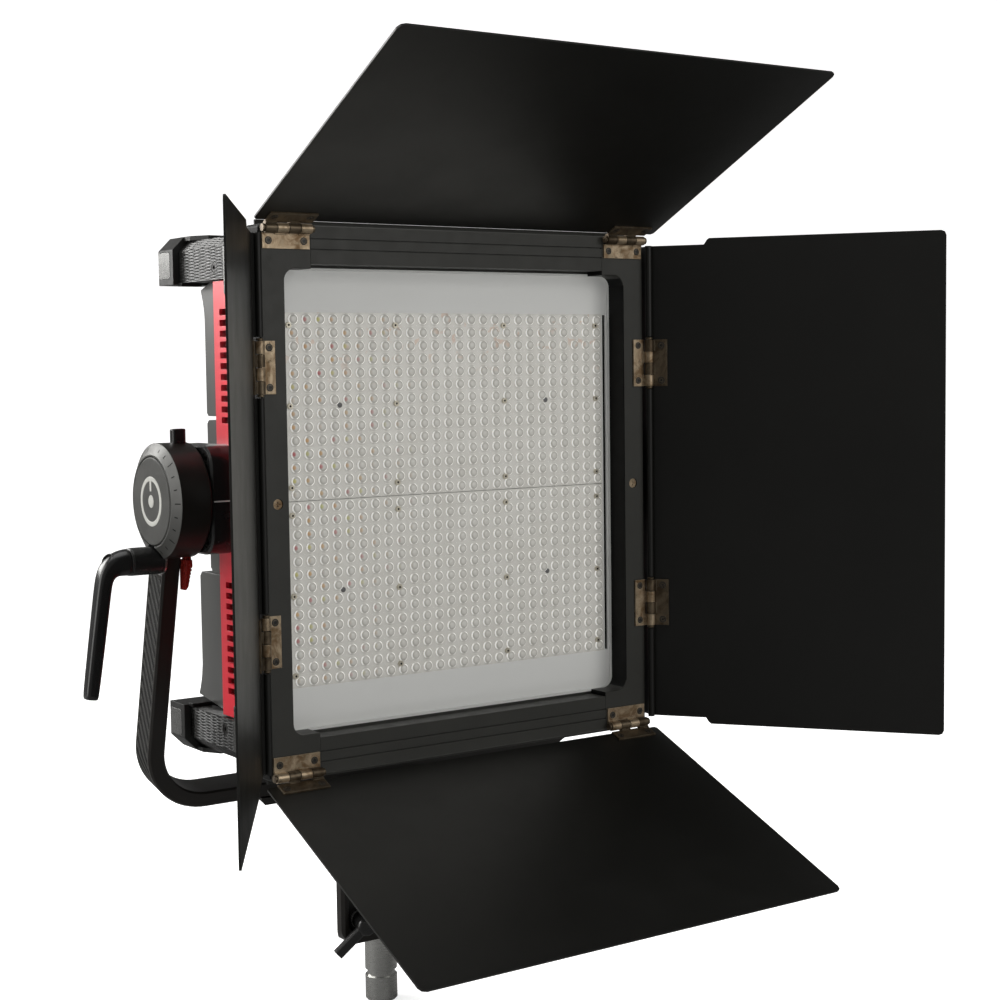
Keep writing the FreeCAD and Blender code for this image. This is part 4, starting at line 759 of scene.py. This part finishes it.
def arm_outline():
    """Points of the outline, their inward normals and how fully each is knurled."""
    points, normals, weights = [], [], []
    for k, start in enumerate(ARM):
        end = ARM[(k + 1) % len(ARM)]
        dx, dz = end[0] - start[0], end[1] - start[1]
        length = math.hypot(dx, dz)
        knurled = k < KNURLED_EDGES
        steps = max(1, int(length / KNURL_STEP)) if knurled else 1
        for i in range(steps):
            t = i / steps
            points.append((start[0] + dx * t, start[1] + dz * t))
            normals.append((dz / length, -dx / length))
            to_end = min(t * length, (1 - t) * length)
            weights.append(min(1.0, to_end / 0.8) if knurled else 0.0)
    return points, normals, weights


def add_arm(shape, side_x, side_z):
    points, normals, weights = arm_outline()
    runs = [0.0]
    for a, b in zip(points, points[1:]):
        runs.append(runs[-1] + math.hypot(b[0] - a[0], b[1] - a[1]))
    count = len(points)
    verts, faces = [], []
    for j in range(ARM_STEPS + 1):
        y = ARM_FRONT + (ARM_BACK - ARM_FRONT) * j / ARM_STEPS
        end_fade = min(1.0, min(y - ARM_FRONT, ARM_BACK - y) / 0.6)
        lean = KNURL_SLANT * (y - ARM_FRONT)
        for (x, z), (nx, nz), run, weight in zip(points, normals, runs, weights):
            # two sets of grooves cross; the nearer groove sets the depth
            nearest = min(abs(((run + way * lean) / KNURL_PITCH % 1.0) - 0.5) * 2.0
                          for way in (1, -1))
            depth = KNURL_DEPTH * max(0.0, 1.0 - nearest / KNURL_WIDTH)
            from_hole = math.hypot(y - ARM_HOLE_Y, z - ARM_HOLE_Z)
            on_flat = abs(x - ARM[0][0]) < 0.6 and from_hole < HOLE_FLAT
            depth *= weight * end_fade * (0.0 if on_flat else 1.0)
            verts.append(place(side_x * (x + nx * depth), y, side_z * (z + nz * depth)))
    for j in range(ARM_STEPS):
        faces += ring_quads(j * count, (j + 1) * count, count)
    faces.append(list(range(count))[::-1])
    faces.append([ARM_STEPS * count + i for i in range(count)])
    shape.add(verts, faces)


def handle_arms():
    shape, cutters = Shape(), Shape()
    for side_x in LEFT_RIGHT:
        for side_z in (1, -1):
            add_arm(shape, side_x, side_z)
            cutters.lathe(place(side_x * -184.0, ARM_HOLE_Y, side_z * ARM_HOLE_Z),
                          (side_x, 0, 0),
                          [(0, 0), (0, ARM_HOLE_RADIUS), (4.2, ARM_HOLE_RADIUS), (4.2, 0)], 28)
    arms = shape.done("handle_arms_knurled", "handle_black", "head", "handle_black", angle=50)
    cutter = cutters.done("tmp_cut", "painted_gap_shade", "head", "screw_black")
    holes = arms.modifiers.new("holes", "BOOLEAN")
    holes.operation = "DIFFERENCE"
    holes.object = cutter
    holes.solver = "EXACT"
    bpy.context.view_layer.update()
    depsgraph = bpy.context.evaluated_depsgraph_get()
    cut_mesh = bpy.data.meshes.new_from_object(arms.evaluated_get(depsgraph))
    arms.modifiers.clear()
    arms.data = cut_mesh
    bpy.data.objects.remove(cutter)
    arms.data.materials.clear()
    arms.data.materials.append(MATS["handle_black"])
    smooth_by_angle(arms, 50)
    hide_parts("handle_side_arms")


handle_arms()

# ------------------------------------------------------- ribbed yoke inlays
# Each band runs down the outer face of a yoke arm and round its lower corner.
# Places are given for an upright yoke, which then leans about the tilt axis.
LEAN_COS, LEAN_SIN = math.cos(math.radians(14.0)), math.sin(math.radians(14.0))
INLAY_X, INLAY_FLOOR, INLAY_TOP = 225.0, TILT_Z - 266.0, TILT_Z - 62.15
INLAY_CORNER, INLAY_TAIL, INLAY_HALF_WIDTH = 56.0, 19.6, 10.8
INLAY_DEPTH = 1.0
CORNER_X, CORNER_Z = INLAY_X - INLAY_CORNER, INLAY_FLOOR + INLAY_CORNER
INLAY_STRAIGHT = INLAY_TOP - CORNER_Z
INLAY_ARC = INLAY_CORNER * math.pi / 2
INLAY_LENGTH = INLAY_STRAIGHT + INLAY_ARC + INLAY_TAIL
RIB_PITCH, RIB_ALONG, RIB_ACROSS = 6.5, 0.625, 0.774  # pitch and slanted direction
RIB_TOP, RIB_HALF_DEPTH, RIB_FADE = 0.04, 0.44, 0.9
# groove faces between these depths get the near-black painted shade
GROOVE_SHADE_DEPTHS = (0.42, 0.95)  # faces at these depths are dark


def leaned(x, y, z):
    dy, dz = y - TILT_Y, z - TILT_Z
    return place(x, TILT_Y + LEAN_COS * dy - LEAN_SIN * dz,
                 TILT_Z + LEAN_SIN * dy + LEAN_COS * dz)


def add_inlay(shape, side):
    steps, across, back_steps = int(INLAY_LENGTH / 0.42), 40, 60
    row = across + 1
    half = INLAY_HALF_WIDTH

    def on_band(s, w, depth):
        """Point s along the band and w across it, sunk by depth."""
        if s <= INLAY_STRAIGHT:
            x, z, nx, nz = -INLAY_X, INLAY_TOP - s, 1.0, 0.0
        elif s <= INLAY_STRAIGHT + INLAY_ARC:
            angle = (s - INLAY_STRAIGHT) / INLAY_CORNER
            nx, nz = math.cos(angle), math.sin(angle)
            x = -CORNER_X - INLAY_CORNER * nx
            z = CORNER_Z - INLAY_CORNER * nz
        else:
            x = -CORNER_X + (s - INLAY_STRAIGHT - INLAY_ARC)
            z, nx, nz = INLAY_FLOOR, 0.0, 1.0
        return leaned(side * (x + nx * depth), TILT_Y + w, z + nz * depth)

    stations = [INLAY_LENGTH * i / steps for i in range(steps + 1)]
    widths = [-half + 2 * half * j / across for j in range(row)]
    verts, faces = [], []
    for s in stations:
        for w in widths:
            fade = min(1.0, (half - abs(w)) / RIB_FADE, s / RIB_FADE,
                       (INLAY_LENGTH - s) / RIB_FADE)
            wave = math.cos(2 * math.pi * (s * RIB_ALONG + w * RIB_ACROSS) / RIB_PITCH)
            rib = RIB_HALF_DEPTH + RIB_HALF_DEPTH * wave
            verts.append(on_band(s, w, RIB_TOP + max(0.0, fade) * rib))
    for i in range(steps):
        for j in range(across):
            k = i * row + j
            faces.append([k, k + 1, k + 1 + row, k + row])

    start = len(verts)
    for i in range(back_steps + 1):
        for w in (-half, half):
            verts.append(on_band(INLAY_LENGTH * i / back_steps, w, INLAY_DEPTH))
    for i in range(back_steps):
        k = start + 2 * i
        faces.append([k, k + 1, k + 3, k + 2])

    def wall(border, spots):
        """Wall from the ribbed face's border down to the back."""
        base = len(verts)
        verts.extend(on_band(s, w, INLAY_DEPTH) for s, w in spots)
        for i in range(len(border) - 1):
            faces.append([border[i], border[i + 1], base + i + 1, base + i])

    for j, w in ((0, -half), (across, half)):
        wall([i * row + j for i in range(steps + 1)], [(s, w) for s in stations])
    for i in (0, steps):
        wall([i * row + j for j in range(row)], [(stations[i], w) for w in widths])
    shape.add(verts, faces)


def inlay_depth(point):
    """Depth of a scene point below the band's outer surface."""
    y, z = point.y * 1000 - SHIFT_Y - TILT_Y, point.z * 1000 - SHIFT_Z - TILT_Z
    upright_z = TILT_Z - LEAN_SIN * y + LEAN_COS * z
    x = abs(point.x) * 1000
    if upright_z >= CORNER_Z:
        return INLAY_X - x
    if x >= CORNER_X:
        return INLAY_CORNER - math.hypot(x - CORNER_X, upright_z - CORNER_Z)
    return upright_z - INLAY_FLOOR


def yoke_inlays():
    shape = Shape()
    for side in LEFT_RIGHT:
        add_inlay(shape, side)
    inlays = shape.done("yoke_inlays_ribbed", "grip_texture", "yoke", "grip_texture", angle=60)
    # painted shade: groove faces of the ribs take the near-black gap material
    inlays.data.materials.append(MATS["painted_gap_shade"])
    for face in inlays.data.polygons:
        if GROOVE_SHADE_DEPTHS[0] < inlay_depth(face.center) < GROOVE_SHADE_DEPTHS[1]:
            face.material_index = 1
    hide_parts("yoke_grip_inlays")


yoke_inlays()

# ---------------------------------------------------- dial ticks and motif
DIAL_X = -233.0
BEVEL_INNER, BEVEL_OUTER, BEVEL_DROP = 36.6, 45.4, 5.0
TICK_INNER, TICK_OUTER = 36.9, 45.1
TICK_WIDTH, TICK_COUNT = 0.85, 24


def tick_radius(t):
    return TICK_INNER + (TICK_OUTER - TICK_INNER) * t


def bevel_point(angle, t, lift, side):
    """Point on the dial's bevel: angle from the top, t from 0 inside to 1 outside."""
    radius = tick_radius(t)
    run = BEVEL_OUTER - BEVEL_INNER
    slant = math.hypot(run, BEVEL_DROP)
    x = DIAL_X + BEVEL_DROP * ((radius - BEVEL_INNER) / run) - run / slant * lift
    radius += BEVEL_DROP / slant * lift
    return place(side * x, TILT_Y + radius * math.sin(angle), TILT_Z + radius * math.cos(angle))


def add_tick(shape, angle, inner, outer, side):
    corners = [(angle + way * TICK_WIDTH / tick_radius(t) / 2, t)
               for t, way in ((inner, -1), (outer, -1), (outer, 1), (inner, 1))]
    points = [bevel_point(a, t, lift, side) for lift in (-0.05, 0.07) for a, t in corners]
    walls = [[i, 4 + i, 4 + (i + 1) % 4, (i + 1) % 4] for i in range(4)]
    shape.add(points, [[0, 1, 2, 3], [7, 6, 5, 4]] + walls)


def dial_ticks():
    """Every third tick is long; the left dial has none at the top."""
    shape = Shape()
    for side in LEFT_RIGHT:
        for i in range(TICK_COUNT):
            if i == 0 and side > 0:
                continue
            angle = 2 * math.pi * i / TICK_COUNT
            add_tick(shape, angle, 0.30, 0.86 if i % 3 == 0 else 0.62, side)
    shape.done("dial_ticks", "mark_dim", "yoke", "dial_grey")


def cap_motif():
    """Raised ring, centre disc and upright bar on each tilt cap."""
    shape = Shape()
    for side in LEFT_RIGHT:
        centre, outward = place(side * -233.45, TILT_Y, TILT_Z), (-side, 0, 0)
        shape.lathe(centre, outward, [(0, 19.6), (0.28, 19.3), (0.34, 18.6), (0.34, 16.8),
                                      (0.28, 16.1), (0, 15.8)], 72, closed=True)
        shape.lathe(centre, outward, [(0, 0), (0, 5.0), (0.28, 4.7), (0.34, 4.2), (0.34, 0)], 40)
        bar = [place(side * -233.5, TILT_Y + y, TILT_Z + z)
               for y, z in ((-1.6, 8.0), (1.6, 8.0), (1.6, 15.8), (-1.6, 15.8))]
        shape.prism(bar, (-side * 0.3, 0, 0))
    shape.done("tilt_cap_motif", "motif_grey", "yoke", "inlay_grey", angle=35)


def index_lines():
    """A line on the front of each flange block."""
    shape = Shape()
    for side in LEFT_RIGHT:
        shape.prism(rect_xz(side * -199.2, side * -181.2, 55.52, 0.55, 1.65), (0, -0.12, 0))
    shape.done("tilt_index_lines", "mark_white", "head", "inlay_grey")


dial_ticks()
cap_motif()
index_lines()

# ------------------------------------------------------------- tilt lever
LEVER_Y, LEVER_Z = 100.0, -45.5
LEVER_SEGMENTS = 28
# outer edge (x, z), inner edge (x, z), half thickness in y, squareness (2 is an ellipse)
LEVER_STATIONS = [
    ((-251.6, -34.9), (-251.6, -56.1), 10.6, 2.0),
    ((-255.0, -35.0), (-254.2, -56.1), 10.4, 2.1),
    ((-260.0, -35.8), (-257.6, -55.9), 9.8, 2.3),
    ((-266.2, -38.2), (-261.4, -55.8), 9.0, 2.6),
    ((-271.8, -42.6), (-264.4, -56.9), 8.2, 2.9),
    ((-275.9, -48.6), (-266.3, -59.4), 7.6, 3.2),
    ((-278.3, -56.0), (-267.4, -63.0), 7.2, 3.5),
    ((-280.0, -66.0), (-268.6, -70.0), 6.9, 3.7),
    ((-283.4, -90.0), (-271.9, -92.5), 6.6, 3.7),
    ((-287.6, -120.0), (-276.4, -122.0), 6.3, 3.7),
    ((-291.3, -146.5), (-280.6, -148.2), 6.0, 3.7),
    ((-291.0, -148.6), (-281.3, -150.0), 5.4, 3.4),
    ((-290.0, -149.6), (-282.3, -150.8), 4.2, 3.0),
]


def lever_hub():
    shape = Shape()
    shape.lathe(place(-226.25, LEVER_Y, LEVER_Z), (-1, 0, 0), [
        (0, 0), (0, 10.4), (0.6, 11.0), (24.6, 11.0), (25.0, 10.75), (25.0, 10.2),
        (25.7, 10.2), (25.7, 10.75), (26.1, 10.9), (26.6, 10.0), (26.6, 0)], 56)
    shape.lathe(place(-221.0, LEVER_Y, LEVER_Z), (-1, 0, 0),
                [(0, 0), (0, 3.9), (5.6, 3.9), (5.6, 0)], 24)
    hub = shape.done("tilt_lever_hub", "joint_black", "tilt_lever", "joint_black", angle=30)
    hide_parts("tilt_lock_lever")


def lever_handle():
    """Cranked handle lofted through the stations."""
    count = LEVER_SEGMENTS
    verts, faces = [], []
    for (outer_x, outer_z), (inner_x, inner_z), half_y, squareness in LEVER_STATIONS:
        centre_x, centre_z = 0.5 * (outer_x + inner_x), 0.5 * (outer_z + inner_z)
        half_x, half_z = 0.5 * (outer_x - inner_x), 0.5 * (outer_z - inner_z)
        power = 2.0 / squareness
        for i in range(count):
            angle = 2 * math.pi * i / count
            u, w = [math.copysign(abs(part) ** power, part)
                    for part in (math.cos(angle), math.sin(angle))]
            verts.append(place(centre_x + half_x * u, LEVER_Y + half_y * w,
                               centre_z + half_z * u))
    last = (len(LEVER_STATIONS) - 1) * count
    for start in range(0, last, count):
        faces += ring_quads(start, start + count, count)
    faces.append(list(range(count))[::-1])
    faces.append([last + i for i in range(count)])
    shape = Shape()
    shape.add(verts, faces)
    handle = shape.done("tilt_lever_handle", "joint_black", "tilt_lever", "joint_black",
                        smooth=True)
    subdivision = handle.modifiers.new("sub", "SUBSURF")
    subdivision.levels = 2
    subdivision.render_levels = 2


def lever_socket():
    """Rim and socket in the elbow, the socket painted near-black as shade."""
    origin = place(-268.2, LEVER_Y - 0.6, -43.4)
    axis = Vector((-0.76, -0.26, 0.60)).normalized()
    rim, socket = Shape(), Shape()
    rim.lathe(origin, axis, [(-4, 0), (-4, 5.4), (2.2, 5.4), (2.6, 5.1), (2.6, 4.6),
                             (0.2, 4.4), (0.1, 0)], 36)
    rim.done("tilt_lever_socket_rim", "joint_black", "tilt_lever", "joint_black", angle=35)
    socket.lathe(origin, axis, [(0.0, 0), (0.0, 4.35), (1.2, 4.3), (1.25, 3.0), (0.5, 2.9),
                                (0.5, 0)], 24)
    socket.done("tilt_lever_socket", "painted_gap_shade", "tilt_lever", "screw_black")


lever_hub()
lever_handle()
lever_socket()


# ------------------------------------------------------- rear panel marks
def knob_marks():
    """A scale of radial marks round each rear knob."""
    inner, outer, half_width = 13.4, 15.4, 0.3
    shape = Shape()
    for knob_x, knob_z in ((18.0, 4.0), (78.0, 4.0)):
        for i in range(11):
            angle = math.radians(-135 + 27 * i)
            dx, dz = math.sin(angle), math.cos(angle)
            corners = ((inner, half_width), (outer, half_width),
                       (outer, -half_width), (inner, -half_width))
            shape.prism([place(knob_x + dx * radius - dz * w, 124.95,
                               knob_z + dz * radius + dx * w) for radius, w in corners],
                        (0, 0.12, 0))
    shape.done("knob_scale_marks", "mark_white", "head", "inlay_grey")


knob_marks()


# ------------------------------------------------------- stage, in metres
def studio_sweep():
    """Floor that curves up into a back wall."""
    floor_z, front_y, bend_y, bend_radius, wall_top, half_width = -0.0605, -6.0, 2.6, 1.4, 6.0, 9
    profile = [(front_y, floor_z), (bend_y, floor_z)]
    for i in range(1, 13):
        angle = math.radians(90 * i / 12)
        profile.append((bend_y + bend_radius * math.sin(angle),
                        floor_z + bend_radius * (1 - math.cos(angle))))
    profile.append((bend_y + bend_radius, wall_top))
    verts = [(x, y, z) for y, z in profile for x in (-half_width, half_width)]
    faces = [[2 * i, 2 * i + 1, 2 * i + 3, 2 * i + 2] for i in range(len(profile) - 1)]
    mesh = bpy.data.meshes.new("studio_sweep")
    mesh.from_pydata(verts, [], faces)
    for face in mesh.polygons:
        face.use_smooth = True
    sweep = add_object("studio_sweep", mesh)

    camera_glow, base_glow = 0.70, 0.02  # emission added for the camera, and for all rays
    g = new_material("sweep_white")
    diffuse = g.node("ShaderNodeBsdfDiffuse")
    emission = g.node("ShaderNodeEmission")
    rays = g.node("ShaderNodeLightPath").outputs
    # reflections see a darker sweep
    white = g.mix(rays["Is Glossy Ray"], (0.80, 0.80, 0.80), (0.26, 0.26, 0.26))
    g.fill(diffuse, {0: white})
    strength = g.math("ADD", g.mul(rays["Is Camera Ray"], camera_glow), base_glow)
    g.fill(emission, {0: (1.0, 1.0, 1.0), 1: strength})
    g.finish(g.node("ShaderNodeAddShader", {0: diffuse.outputs[0], 1: emission.outputs[0]}))
    mesh.materials.append(MATS["sweep_white"])


studio_sweep()


# ------------------------------------------------------------------ light
def sky():
    base, camera_gain, glossy_loss = 0.36, 0.7, 0.14  # strength for each kind of ray
    world = bpy.data.worlds.new("world")
    bpy.context.scene.world = world
    g = Graph(world, "ShaderNodeOutputWorld")
    background = g.node("ShaderNodeBackground")
    rays = g.node("ShaderNodeLightPath").outputs
    strength = g.math("ADD", g.mul(rays["Is Camera Ray"], camera_gain), base)
    strength = g.math("SUBTRACT", strength, g.mul(rays["Is Glossy Ray"], glossy_loss))
    g.fill(background, {0: (1.0, 0.995, 0.98), 1: strength})
    g.finish(background)


def area_light(name, location, target, size, power, colour=(1, 1, 1)):
    light = bpy.data.lights.new(name, "AREA")
    light.shape = "RECTANGLE"
    light.size, light.size_y = size
    light.energy = power
    light.color = colour
    obj = add_object(name, light)
    obj.location = location
    aim = Vector(target) - Vector(location)
    obj.rotation_euler = aim.to_track_quat("-Z", "Y").to_euler()


sky()
area_light("key_left", location=(-2.6, 0.55, 1.1), target=(-0.1, -0.05, 0.4),
           size=(1.8, 2.4), power=38, colour=(1.0, 0.99, 0.97))
area_light("rear_left", location=(-1.35, 1.95, 1.30), target=(-0.18, 0.0, 0.5),
           size=(1.5, 1.1), power=44, colour=(1.0, 0.99, 0.97))
area_light("top_soft", location=(-0.3, 0.2, 2.6), target=(0, -0.05, 0.4),
           size=(2.2, 2.2), power=26)
area_light("front_fill", location=(0.9, -2.9, 1.5), target=(0, 0, 0.4),
           size=(2.4, 2.4), power=26, colour=(1.0, 0.99, 0.96))


# ----------------------------------------------------------------- camera
def camera():
    heading, dip, roll = [math.radians(a) for a in (34.6694, 4.2035, -0.7515)]
    location = (-0.813982, -1.373628, 0.502535)
    lens = bpy.data.cameras.new("cam")
    obj = add_object("cam", lens)
    forward = Vector((math.sin(heading) * math.cos(dip), math.cos(heading) * math.cos(dip),
                      -math.sin(dip)))
    level = forward.cross(Vector((0, 0, 1))).normalized()
    upright = level.cross(forward)
    right = level * math.cos(roll) + upright * math.sin(roll)
    up = upright * math.cos(roll) - level * math.sin(roll)
    rows = [(right[i], up[i], -forward[i], location[i]) for i in range(3)]
    obj.matrix_world = Matrix((*rows, (0, 0, 0, 1)))
    lens.sensor_width = 36.0
    lens.lens = 65.4276528
    lens.clip_start = 0.05
    lens.clip_end = 50
    bpy.context.scene.camera = obj


camera()
bpy.context.scene.view_settings.view_transform = "Standard"
bpy.context.scene.view_settings.look = "None"
